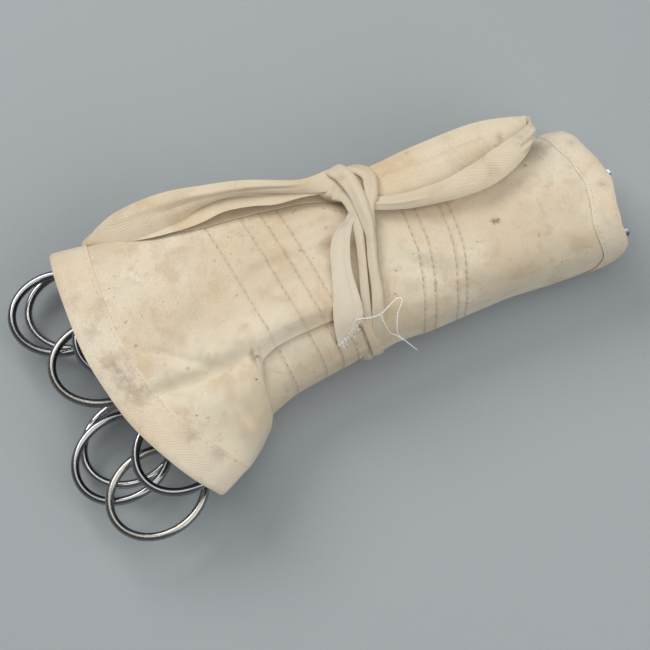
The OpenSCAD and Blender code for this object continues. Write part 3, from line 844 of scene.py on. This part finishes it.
# name: (ring distance, jaw length, jaw bend, jaw root width, toothed jaws, ratchet)
RING_INSTRUMENTS = {
    "straight_forceps": (131, 56, 0, 3.9, True, True),
    "curved_forceps": (134.8, 55, -5, 3.9, True, True),
    "needle_holder": (131.7, 50, 0, 4.4, True, True),
    "suture_scissors": (122.4, 46, 0, 3.9, False, False),
}


def combine(base, tool, operation):
    """Joins the tool to the base, or cuts it out of it, and deletes the tool."""
    change = base.modifiers.new("combine", "BOOLEAN")
    change.operation = operation
    change.solver = "EXACT"
    change.object = tool
    fixed = bpy.data.meshes.new_from_object(base.evaluated_get(bpy.context.evaluated_depsgraph_get()))
    base.modifiers.clear()
    base.data = fixed
    bpy.data.objects.remove(tool)


def joined(name, shells):
    """One closed piece from overlapping closed shells."""
    base, *tools = [add_mesh(name, *shell, sharp=STEEL_SHARP) for shell in shells]
    for tool in tools:
        combine(base, tool, "UNION")
    smooth_shading(base.data, STEEL_SHARP)
    base.name = name
    return base


def sweep(points, widths, heights):
    """A shell along points (x, y, z): a rounded section of these widths (in plan) and heights."""
    count, around, square = 70, 16, 2.6
    path = path_points(points, count)
    wide, high = values_along(widths, count), values_along(heights, count)
    verts = []
    for i, p in enumerate(path):
        t = step_at(path, i)
        side = Vector((-t.y, t.x, 0)).normalized()
        for a in turns(around):
            c, s = cos(a), sin(a)
            r = (abs(c) ** square + abs(s) ** square) ** (-1 / square)
            verts.append(p + side * c * r * wide[i] / 2 + UP * s * r * high[i] / 2)
    return verts, tube_faces(count, around)


def ring_shell(centre, side):
    """A finger ring of slightly flattened wire."""
    verts = []
    turn = Matrix.Rotation(radians(-side * RING_TILT), 3, "Z")
    for a in turns(96):
        c, s = cos(a), sin(a)
        middle = Vector((c * RING_LONG, s * RING_SHORT, 0))
        out = Vector((c * RING_SHORT, s * RING_LONG, 0)).normalized()
        for b in turns(16):
            p = middle + out * cos(b) * 1.5 + UP * sin(b) * 1.65
            verts.append(turn @ p + Vector(centre))
    return verts, hoop_faces(96, 16)


def disc_shell(radius, bore, low, high):
    """The joint's disc with its bore, its outer edges chamfered."""
    chamfer = 0.3
    profile = [(bore, low), (radius - chamfer, low), (radius, low + chamfer),
               (radius, high - chamfer), (radius - chamfer, high), (bore, high)]
    verts = [Vector((r * cos(a), r * sin(a), z)) for a in turns(64) for r, z in profile]
    return verts, hoop_faces(64, len(profile))


def blunted(u, last, least):
    """Narrows a jaw over the last share of its length, down to its blunt tip."""
    return sqrt(max(least, 1 - max(0, (u - (1 - last)) / last) ** 2 * 0.9))


def jaw_shell(side, length, bend, root_w, toothed):
    """A jaw on the other side of the middle line from its ring, with fine teeth inside."""
    steps = 150 if toothed else 60
    verts = []
    for i, u in enumerate(shares(steps)):
        x = mix(4.5, length - 0.2, u)
        y0 = bend * (x / length) ** 2.2
        outer = mix(root_w, 1.4, u) * blunted(u, 0.1, 0.04)
        high = mix(3.8, 2.2, u) / 2 * blunted(u, 0.06, 0.06)
        inner = 0.14 + (0.12 * (i % 2) if toothed and u > 0.25 else 0)
        centre_z = side * 1.0 * soft(1 - (x - 6) / 8)
        half = [(inner, 0.86), (outer * 0.45, 1), (outer * 0.88, 0.72), (outer, 0.2)]
        below = [(y, -z) for y, z in reversed(half)]
        for y, z in below[-1:] + half + below[:-1]:
            verts.append(Vector((x, y0 - side * y, centre_z + z * high)))
    faces = tube_faces(steps, 8)
    if side > 0:
        faces = [tuple(reversed(f)) for f in faces]
    return verts, faces


def ratchet_shell(side):
    """The catch between the shanks: a short arm with teeth that face the other half's teeth."""
    inner, outer, pitch, arm = 0.1, 1.4, 1.1, 10.0
    profile = [(1.5, outer), (1.5, inner)]
    for i in range(6):
        y = -2.4 - i * pitch
        profile += [(y, inner), (y - pitch * 0.75, inner + 0.45), (y - pitch * 0.98, inner + 0.05)]
    profile += [(-arm + 0.4, inner + 0.1), (-arm, inner + 0.5), (-arm, outer - 0.3), (-arm + 0.4, outer)]
    n = len(profile)
    verts = []
    for x in (-95.8, -91.6):
        for y, z in profile:
            verts.append(Vector((x, side * (9.0 + y), side * z)))
    faces = [tuple(range(n)), tuple(reversed(range(n, 2 * n)))]
    faces += [(k + n, (k + 1) % n + n, (k + 1) % n, k) for k in range(n)]
    return verts, faces


def lathe(profile, around, flutes=0):
    """A shell turned about the X axis from (x, radius) pairs, from one end on the axis to the other."""
    verts = [Vector((profile[0][0], 0, 0))]
    for x, r in profile[1:-1]:
        depth = FLUTE_DEPTH * soft((x - FLUTES_FROM) / 3) * soft((FLUTES_TO - x) / 3) if flutes else 0.0
        for a in turns(around):
            cut = r - depth * (0.5 + 0.5 * cos(flutes * a)) ** 2
            verts.append(Vector((x, cut * cos(a), cut * sin(a))))
    verts.append(Vector((profile[-1][0], 0, 0)))
    last = len(verts) - 1
    base = last - around
    faces = [(0, 1 + (k + 1) % around, 1 + k) for k in range(around)]
    faces += side_faces(len(profile) - 2, around, 1)
    faces += [(last, base + k, base + (k + 1) % around) for k in range(around)]
    return verts, faces


def smooth_profile(pairs, count):
    points = path_points([(x, r, 0) for x, r in pairs], count)
    return [(p.x, max(p.y, 0.02)) for p in points]


HANDLE_L = 82.0
HANDLE_R = 4.0
ELEVATOR_L = 150.0
FLUTE_DEPTH, FLUTES_FROM, FLUTES_TO = 0.32, 8, 60
# Where each blade's tip is.
ELEVATORS = {"straight_elevator": (96.6, 7.4, 33.2), "angled_elevator": (95.4, -13.6, 27.9)}


def elevator_handle(name):
    """A slim fluted handle with a domed butt, a waist and a bore that takes the blade's tang."""
    dome = np.linspace(0.12, pi / 2, 8)
    profile = [(0, 0)] + [(HANDLE_R * (1 - cos(t)), HANDLE_R * sin(t)) for t in dome]
    waist = [(5, HANDLE_R), (20, HANDLE_R), (37, 3.95), (57, 3.44), (70, 2.85), (76.3, 2.64)]
    profile += smooth_profile(waist, 46)
    profile += [(77.2, 2.5), (78, 2.62), (80.6, 2.4), (81.6, 2.1), (HANDLE_L, 1.9)]
    profile += [(HANDLE_L, 1.41), (68.2, 1.41), (68, 0)]
    return add_mesh(name, *lathe(profile, 96, 12), sharp=32)


def elevator_blade(name):
    """Tang, collar and tapering shank, ending in a small gouge hollowed on its upper face."""
    profile = [(68.2, 0), (68.2, 1.1), (68.6, 1.38), (82.05, 1.38), (82.05, 1.6), (82.4, 1.75)]
    shank = [(83, 1.75), (100, 1.5), (125, 1.14), (138, 1.1), (141, 1.3), (143, 1.5), (147, 1.52)]
    profile += smooth_profile(shank, 70)
    tip = [(2, 1.54), (1.1, 1.48), (0.6, 1.32), (0.25, 1), (0.08, 0.55), (0, 0)]
    profile += [(ELEVATOR_L - back, radius) for back, radius in tip]
    verts, faces = lathe(profile, 64)
    for v in verts:
        depth = soft((v.x - 141.5) / 3)
        v.z = min(v.z, mix(2, 0.45 + v.y * v.y / 6, depth))
    return add_mesh(name, verts, faces, sharp=32)


def screw(name):
    """A slotted joint screw along Z, with domed ends."""
    dome = [(-2.7 + 0.25 * (1 - cos(t)), 0.6 + 1.4 * sin(t)) for t in (0.1, 0.8, 1.57)]
    profile = [(-2.7, 0)] + dome + [(2.45, 2), (2.62, 1.9), (2.7, 1.5), (2.7, 0)]
    verts, faces = lathe(profile, 48)
    base = add_mesh(name, [Vector((v.y, v.z, v.x)) for v in verts], faces, sharp=STEEL_SHARP)
    corners = [(x, y, z) for x in (-2.6, 2.6) for y in (-0.35, 0.35) for z in (2.1, 3.4)]
    box_faces = [(0, 1, 3, 2), (4, 6, 7, 5), (0, 4, 5, 1), (2, 3, 7, 6), (0, 2, 6, 4), (1, 5, 7, 3)]
    combine(base, add_mesh("slot", corners, box_faces), "DIFFERENCE")
    smooth_shading(base.data, STEEL_SHARP)
    return base


def joint_named(name):
    return next(j for j in frame["record"]["behaviour"]["joints"] if j["name"] == name)


def instrument_half(name, side):
    """Disc, shank, ring, jaw and ratchet. The ring of the half with side +1 is at +Y."""
    reach, length, bend, root_w, toothed, ratchet = RING_INSTRUMENTS[name]
    # The shank runs from its own layer at the screw to the middle layer.
    start = [(3, -1.2, 1.4), (-2, 1.6, 1.4), (-7, 2.3, 1.4), (-12, 2.4, 0.9), (-17, 2.5, 0.2)]
    rest = [(-x, y, 0) for x, y in SHANK[1:] + [(reach - 17.5, RING_CENTRE_Y - 4.5)]]
    path = [(x, side * y, side * z) for x, y, z in start + rest]
    shells = [
        disc_shell(5.5, 2.05, *((0.1, 2.7) if side > 0 else (-2.7, -0.1))),
        sweep(path, SHANK_WIDTHS, SHANK_HEIGHTS),
        ring_shell((-reach, side * RING_CENTRE_Y, 0), side),
        jaw_shell(side, length, bend, root_w, toothed),
    ]
    if ratchet:
        shells.append(ratchet_shell(side))
    return joined(f"{name}_body_{'a' if side > 0 else 'b'}", shells)


def steel(piece, place, body, node, finish):
    """Puts a steel piece in its place, on its body and instead of its CAD object."""
    piece.data.transform(place)
    dress(piece, body, node, finish)


def slide_heading(name):
    """The slide's axis, and the way the instrument points in plan."""
    axis = joint_named(f"{name}_slide")["axis"]
    return axis, Matrix.Rotation(atan2(-axis[1], -axis[0]), 4, "Z")


def ring_instrument(name, finish):
    """Both halves and the screw, opened as the ring spacing in the rest pose needs."""
    pivot = joint_named(f"{name}_pivot")
    opening = radians(-pivot["range_deg"][0] / 2)
    place = Matrix.Translation(pivot["pos_m"]) @ slide_heading(name)[1]
    for side, body, half in ((1, name, "half_a"), (-1, f"{name}_lever", "half_b")):
        opened = place @ Matrix.Rotation(-side * opening, 4, "Z")
        steel(instrument_half(name, side), opened, body, f"{name}_{half}", finish)
    steel(screw(f"{name}_pin"), place, name, f"{name}_screw", finish)


def elevator(name, finish):
    axis, heading = slide_heading(name)
    place = Matrix.Translation(Vector(ELEVATORS[name]) * MM) @ heading
    place = place @ Matrix.Rotation(asin(axis[2]), 4, "Y")
    place = place @ Matrix.Translation((-ELEVATOR_L * MM, 0, 0))
    steel(elevator_handle(f"{name}_grip"), place, name, f"{name}_handle", finish)
    steel(elevator_blade(f"{name}_shank"), place, name, f"{name}_blade", finish)


# ---- Materials ----

CLOTH_CREAM = (0.71, 0.588, 0.42, 1)
CLOTH_PALE = (0.79, 0.7, 0.545, 1)
CLOTH_WARM = (0.62, 0.465, 0.3, 1)
CLOTH_GREY = (0.52, 0.45, 0.35, 1)
RUST = (0.6, 0.4, 0.25, 1)
ORANGE = (0.6, 0.36, 0.17, 1)
SPECK = (0.36, 0.22, 0.13, 1)
DARK = (0.13, 0.065, 0.035, 1)
# Colour of the painted shade along the sunk rows of stitching.
SEAM_SHADE = (0.34, 0.25, 0.16, 1)
TAPE_DIRT = (0.36, 0.27, 0.19, 1)
GRIME = (0.33, 0.245, 0.19, 1)
# Each spot: its centre (x, y), radius and strength.
ORANGE_STAINS = [
    ((-72.3, 33.6), 2, 0.45), ((-83.7, 24.6), 2.2, 0.4), ((-77.9, 18), 2.6, 0.35), ((67, -5.2), 1.6, 0.6),
    ((64.8, -15.5), 2, 0.5), ((60.8, 5.5), 1.8, 0.4), ((70.3, -28), 2, 0.4), ((-66, 12), 3, 0.2),
    ((-20, 18), 3, 0.3), ((-14, 6), 2.4, 0.25), ((18, 8), 3, 0.3), ((30, 14), 2.5, 0.2),
    ((46, -8), 2.2, 0.2),
    ((82, 12), 2.2, 0.3), ((76, 20), 1.6, 0.3), ((-88, -2), 2.4, 0.3), ((55, 16), 2, 0.25),
    ((-50, 25), 2.4, 0.25)]
DARK_STAINS = [((50.5, 2.9), 1.9, 0.9), ((-42.6, -11.7), 1, 0.7), ((-45.9, -19.2), 0.6, 0.7),
               ((-69.1, -23.8), 0.5, 0.8), ((23.4, -9.5), 1.2, 0.35), ((57, -2), 0.5, 0.5),
               ((84, 2), 0.4, 0.6),
               ((38, 20), 0.5, 0.4), ((-58, -6), 0.6, 0.4), ((-31, 24), 0.5, 0.5), ((-81.4, 29), 0.5, 0.5)]
BINDING_SPOTS = [
    ((-89.6, 3), 8, 0.7), ((-87.4, -4.5), 8.5, 0.75), ((-85.5, -11), 6.5, 0.65), ((-92.5, 16), 5, 0.5),
    ((-74, -29), 5.5, 0.55), ((-93, 30), 4, 0.4), ((90, 2), 3.5, 0.6), ((86, 20), 4, 0.5),
    ((-67, -38), 5, 0.5)]
TIE_SPOTS = [
    ((62.4, 29.6), 2.6, 0.8), ((60.6, 26.6), 1.6, 0.8), ((69, 25.5), 5, 0.45), ((31, 36.5), 1.2, 0.8),
    ((55, 18), 4, 0.35), ((6, 35), 3, 0.45), ((2, 33), 2.4, 0.45)]


class Shader:
    """A material with a principled shader, and short ways to add nodes to it."""

    def __init__(self, name, colour):
        self.material = bpy.data.materials.new(name)
        self.material.use_nodes = True
        self.nodes = self.material.node_tree.nodes
        self.colour = colour
        self.where = self.add("TexCoord").outputs["Object"]
        self.x, self.y, self.z = self.add("SeparateXYZ", {0: self.where}).outputs

    def link(self, value, socket):
        """Feeds a socket with another socket or a plain value."""
        if isinstance(value, bpy.types.NodeSocket):
            self.material.node_tree.links.new(value, socket)
        else:
            socket.default_value = value

    def add(self, kind, inputs=None, **settings):
        made = self.nodes.new(f"ShaderNode{kind}")
        for key, value in settings.items():
            setattr(made, key, value)
        for key, value in (inputs or {}).items():
            self.link(value, made.inputs[key])
        return made

    def math(self, operation, *values):
        return self.add("Math", dict(enumerate(values)), operation=operation).outputs[0]

    def times(self, a, b):
        return self.math("MULTIPLY", a, b)

    def times_plus(self, a, b, c):
        return self.math("MULTIPLY_ADD", a, b, c)

    def noise(self, scale, detail, rough, distortion=0, coords=None):
        inputs = {"Vector": coords or self.where, "Scale": scale, "Detail": detail, "Roughness": rough}
        return self.add("TexNoise", inputs | {"Distortion": distortion}).outputs["Fac"]

    def ramp(self, value, low, high, top=1):
        """A smooth step from 0 at low to top at high."""
        inputs = {"Value": value, "From Min": low, "From Max": high, "To Max": top}
        return self.add("MapRange", inputs, interpolation_type="SMOOTHSTEP").outputs[0]

    def lay(self, factor, other, mode="MIX"):
        """Lays another colour over the colour so far."""
        made = self.add("Mix", data_type="RGBA", blend_type=mode)
        for key, value in ((0, factor), (6, self.colour), (7, other)):
            self.link(value, made.inputs[key])
        self.colour = made.outputs[2]

    def clouds(self, noise_value, low, high, top, other):
        """Lays another colour where a noise is high."""
        self.lay(self.ramp(noise_value, low, high, top), other)

    def spots(self, spots, edge, warp, other):
        """Lays ragged spots over the roll's upper side."""
        above = self.ramp(self.z, 18 * MM, 22 * MM)
        for (x, y), radius, amount in spots:
            dx, dy = self.math("SUBTRACT", self.x, x * MM), self.math("SUBTRACT", self.y, y * MM)
            gap = self.math("SQRT", self.times_plus(dx, dx, self.times(dy, dy)))
            ragged = self.times_plus(warp, radius * MM * 1.6, gap)
            inside = self.ramp(ragged, radius * MM * 1.8, radius * MM * (1.8 - edge * 1.6), amount)
            self.lay(self.times(inside, above), other)

    def cloth_uv(self):
        return self.add("SeparateXYZ", {0: self.add("UVMap", uv_map="cloth").outputs[0]}).outputs[:2]

    def slubs(self, u, v, scale):
        """Thick and thin places in the yarn."""
        return self.noise(scale, 3, 0.6, coords=self.add("CombineXYZ", {0: u, 1: v}).outputs[0])

    def waves(self, phase):
        return self.times_plus(self.math("SINE", phase), 0.5, 0.5)

    def shade(self, grey):
        """Multiplies the colour by a grey value."""
        self.lay(1, self.add("CombineColor", {0: grey, 1: grey, 2: grey}).outputs[0], "MULTIPLY")

    def finish(self, bumps, inputs):
        """The material, with a normal from (height, strength, distance) bumps, the finest first."""
        inputs = {"Base Color": self.colour} | inputs
        for height, strength, distance in bumps:
            made = self.add("Bump", {"Height": height, "Strength": strength, "Distance": distance})
            if "Normal" in inputs:
                self.link(inputs["Normal"], made.inputs["Normal"])
            inputs["Normal"] = made.outputs["Normal"]
        for key, value in inputs.items():
            self.link(value, self.nodes["Principled BSDF"].inputs[key])
        return self.material


def seam_lines(s):
    """1 along the rows of stitching, where the cloth is pulled in: the mask for the painted shade of the
    sunk seams.
    """
    x, y = s.times(s.x, 1 / MM), s.times(s.y, 1 / MM)
    left = s.math("SUBTRACT", x, s.times(s.math("SUBTRACT", LEAN_FROM_Y, y), ROW_LEAN))
    bow = s.math("DIVIDE", s.math("SUBTRACT", BOW_FROM_Y, y), BOW_REACH)
    bow = s.math("POWER", s.math("MAXIMUM", bow, 0), BOW_POWER)
    right = s.times_plus(bow, ROW_BOW, s.math("SUBTRACT", x, 1))
    total = 0.0
    for row_x in BAND_ROWS:
        gap = s.math("ABSOLUTE", s.math("SUBTRACT", left if row_x < TIE_X else right, row_x + 0.1))
        total = s.math("MAXIMUM", s.ramp(gap, 1.1, 0.2), total)
    return s.times(total, s.ramp(s.z, 4 * MM, 8 * MM))


def cloth_material():
    """Unbleached twill with slubs, age blotches and stains."""
    s = Shader("cotton_drill", CLOTH_CREAM)
    middle, small = s.noise(95, 5, 0.6, 0.4), s.noise(520, 5, 0.65)
    s.clouds(s.noise(26, 3, 0.5), 0.38, 0.64, 1, CLOTH_PALE)
    s.clouds(middle, 0.48, 0.68, 0.6, CLOTH_WARM)
    s.clouds(s.noise(60, 6, 0.7, 1), 0.5, 0.72, 0.4, CLOTH_GREY)
    s.clouds(s.noise(130, 6, 0.75, 1.4), 0.56, 0.7, 0.5, RUST)
    s.clouds(s.noise(420, 2, 0.4), 0.7, 0.76, 0.5, SPECK)
    s.clouds(small, 0.55, 0.8, 0.25, CLOTH_WARM)
    warp = s.noise(700, 2, 0.5)
    s.spots(ORANGE_STAINS, 0.9, warp, ORANGE)
    s.spots(DARK_STAINS, 0.6, warp, DARK)
    # Painted shade along the sunk rows of stitching.
    s.lay(s.times(seam_lines(s), 0.15), SEAM_SHADE)
    u, v = s.cloth_uv()
    slub = s.slubs(s.times(u, 1.1), s.times(v, 0.28), 3)
    twill = s.waves(s.times_plus(slub, 2.2, s.times(u, 2 * pi / 0.8)))
    weave = s.times_plus(s.math("SINE", s.times(v, 2 * pi / 0.55)), 0.14, twill)
    s.shade(s.times_plus(weave, 0.11, s.times_plus(slub, 0.2, 0.81)))
    bumps = [(weave, 0.55, 0.00014), (small, 0.35, 0.0004), (middle, 0.35, 0.0016)]
    return s.finish(bumps, {"Roughness": 0.94, "Sheen Weight": 0.25, "Specular IOR Level": 0.25})


def tape_material(name, column, base, period, contrast, dirt, spots):
    """Herringbone twill tape: the slant turns over at every column."""
    s = Shader(name, base)
    small = s.noise(600, 4, 0.6)
    s.clouds(s.noise(34, 4, 0.55), 0.4, 0.68, 1, tuple(c * k for c, k in zip(base, (0.93, 0.85, 0.74, 1))))
    s.clouds(small, 0.55, 0.85, 0.2, CLOTH_WARM)
    s.clouds(s.noise(70, 6, 0.7, 0.6), 0.5, 0.72, dirt, TAPE_DIRT)
    s.spots(spots, 0.95, s.noise(420, 3, 0.6), GRIME)
    u, v = s.cloth_uv()
    chevron = s.math("PINGPONG", s.math("ADD", v, column * 20 + column / 2), column)
    slub = s.slubs(s.times(u, 0.5), v, 1.6)
    twill = s.waves(s.times_plus(slub, 1.4, s.times(s.math("ADD", u, chevron), 2 * pi / period)))
    s.shade(s.times_plus(twill, contrast, s.times_plus(slub, 0.14, 0.95 - contrast * 0.8)))
    bumps = [(twill, 0.6, 0.00018), (small, 0.3, 0.0003)]
    return s.finish(bumps, {"Roughness": 0.92, "Sheen Weight": 0.3, "Specular IOR Level": 0.25})


def thread_material(name, base, darker):
    s = Shader(name, base)
    twist = s.noise(2600, 2, 0.5)
    s.clouds(twist, 0.4, 0.65, 1, darker)
    s.clouds(s.noise(90, 3, 0.5), 0.45, 0.7, 0.5, darker)
    return s.finish([(twist, 0.5, 0.0001)], {"Roughness": 0.85})


def steel_material(name, base, rough, brushed):
    """Polished steel with fine scratches, a little tarnish and handling marks."""
    s = Shader(name, base)
    stretched = s.add("Mapping", {"Vector": s.where, "Scale": (0.12, 1, 1)}).outputs[0]
    scratch = s.noise(2600, 4, 0.7, coords=stretched)
    cloudy = s.noise(120, 5, 0.65, 0.5)
    s.clouds(cloudy, 0.5, 0.75, 0.5, tuple(c * 0.62 for c in base[:3]) + (1,))
    tarnish = s.math("ADD", s.ramp(cloudy, 0.45, 0.75, 0.12), rough)
    roughness = s.math("ADD", s.ramp(scratch, 0.45, 0.75, 0.16 * brushed), tarnish)
    return s.finish([(scratch, 0.12 * brushed, 0.00006)], {"Metallic": 1, "Roughness": roughness})


def floor_material():
    s = Shader("backdrop_paper", (0.355, 0.385, 0.4, 1))
    fibres = s.noise(900, 3, 0.5)
    s.clouds(fibres, 0.3, 0.7, 1, (0.365, 0.395, 0.41, 1))
    return s.finish([(fibres, 0.05, 0.0002)], {"Roughness": 0.75, "Specular IOR Level": 0.2})


# ---- Assembly ----


def paint(piece, material):
    piece.data.materials.clear()
    piece.data.materials.append(material)


def dress(piece, body, node, material):
    """Paints a piece and puts it on its body, instead of its CAD object."""
    paint(piece, material)
    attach(piece, body)
    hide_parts(node)


drill = cloth_material()
binding_tape = tape_material("binding_tape", 4.2, (0.8, 0.7, 0.545, 1), 0.8, 0.15, 0.35, BINDING_SPOTS)
tie_tape = tape_material("tie_tape", 9, (0.78, 0.67, 0.5, 1), 1, 0.2, 0.2, TIE_SPOTS)
tail_tape = tape_material("tail_tape", 9, (0.78, 0.69, 0.54, 1), 1.1, 0.24, 0, [])
# The band's sewing thread is a darker tan than the cloth it holds: painted shade of the sunk stitches and
# their needle holes.
sewing = thread_material("sewing_thread", (0.64, 0.52, 0.37, 1), (0.38, 0.29, 0.19, 1))
edge_sewing = thread_material("edge_sewing_thread", (0.66, 0.54, 0.395, 1), (0.46, 0.36, 0.245, 1))
white = thread_material("white_thread", (0.93, 0.92, 0.9, 1), (0.82, 0.8, 0.77, 1))

TEXTILES = [
    ("wrap_cloth", [wrap_cloth()], drill, "cotton_drill"),
    ("mouth_binding", [binding("mouth", left_x, 1, MOUTH_BINDING_W)], binding_tape, "twill_tape"),
    ("tip_binding", [binding("tip", right_x, -1, TIP_BINDING_W)], binding_tape, "twill_tape"),
    ("binding_stitching", [binding_stitching()], edge_sewing, "sewing_thread"),
    ("band_stitching", [band_stitching()], sewing, "sewing_thread"),
    ("handle_band", [inner_band("roll_handle_band", -42, -18)], drill, "cotton_drill"),
    ("blade_band", [inner_band("roll_blade_band", 24, 41)], drill, "cotton_drill"),
    ("tie_band", [under_band(), *strands()], tie_tape, "twill_tape"),
    ("tie_knot", knot(), tie_tape, "twill_tape"),
    ("left_bow_loop", left_loop(), tie_tape, "twill_tape"),
    ("right_bow_loop", right_loop(), tie_tape, "twill_tape"),
    ("tie_tail", [tail()], tail_tape, "twill_tape"),
    ("tie_tail", [frayed_ends()], white, "twill_tape"),
    ("loose_thread", [loose_thread()], white, "white_thread"),
]
for node, pieces, material, slot in TEXTILES:
    for piece in pieces:
        dress(piece, "roll", node, material)

# Colour, roughness and how brushed each steel is.
STEEL_LOOKS = {
    "straight_forceps": ((0.42, 0.42, 0.42, 1), 0.14, 0.6),
    "curved_forceps": ((0.27, 0.27, 0.28, 1), 0.12, 0.4),
    "needle_holder": ((0.3, 0.29, 0.27, 1), 0.18, 1.2),
    "suture_scissors": ((0.28, 0.29, 0.31, 1), 0.1, 0.5),
    "straight_elevator": ((0.5, 0.51, 0.52, 1), 0.12, 0.6),
    "angled_elevator": ((0.32, 0.34, 0.37, 1), 0.24, 1),
}
for name, look in STEEL_LOOKS.items():
    make = ring_instrument if name in RING_INSTRUMENTS else elevator
    make(name, steel_material(f"{name}_steel", *look))


# ---- Stage ----

FLOOR_HALF = 1500.0
FLOOR_Z = -0.05


def floor():
    """A sheet of pale paper, wide enough that its edge shows only in very low views."""
    corners = [(x * FLOOR_HALF, y * FLOOR_HALF, FLOOR_Z) for x, y in ((-1, -1), (1, -1), (1, 1), (-1, 1))]
    ground = add_mesh("studio_floor", corners, [(0, 1, 2, 3)])
    paint(ground, floor_material())


def from_screen(right, away, up):
    """A place so far to the right in the picture, away from the viewer and above the floor."""
    return SCREEN_RIGHT * right + SCREEN_AWAY * away + UP * up


def area_light(name, position, size, power, tint):
    """A square light that faces the middle of the roll. Its position and size are in millimetres."""
    data = bpy.data.lights.new(name, "AREA")
    data.shape = "RECTANGLE"
    data.size = data.size_y = size * MM
    data.energy = power
    data.color = tint
    lamp = in_scene(name, data)
    lamp.location = position * MM
    lamp.rotation_mode = "QUATERNION"
    lamp.rotation_quaternion = (UP * 10 - position).to_track_quat("-Z", "Y")


def lights():
    area_light("key", from_screen(-520, 560, 820), 640, 7.4, (1, 0.985, 0.96))
    area_light("fill", from_screen(620, -420, 760), 800, 4.6, (1, 0.99, 0.97))
    area_light("top", from_screen(0, 0, 1300), 900, 4.6, (1, 1, 1))
    world = bpy.data.worlds.new("studio")
    world.use_nodes = True
    colour, strength = world.node_tree.nodes["Background"].inputs[:2]
    colour.default_value = (0.8, 0.86, 0.92, 1)
    strength.default_value = 0.18
    bpy.context.scene.world = world


def camera():
    back = -SCREEN_AWAY * cos(VIEW_ELEVATION) + UP * sin(VIEW_ELEVATION)
    data = bpy.data.cameras.new("photo_camera")
    data.sensor_width = 36
    data.lens = VIEW_LENS
    data.clip_start, data.clip_end = 0.05, 20
    eye = in_scene("photo_camera", data)
    eye.location = (VIEW_TARGET + back * VIEW_DISTANCE) * MM
    eye.rotation_mode = "QUATERNION"
    axes = Matrix((SCREEN_RIGHT, back.cross(SCREEN_RIGHT), back)).transposed()
    eye.rotation_quaternion = axes.to_quaternion()
    bpy.context.scene.camera = eye


floor()
camera()
lights()
bpy.context.scene.view_settings.view_transform = "Standard"
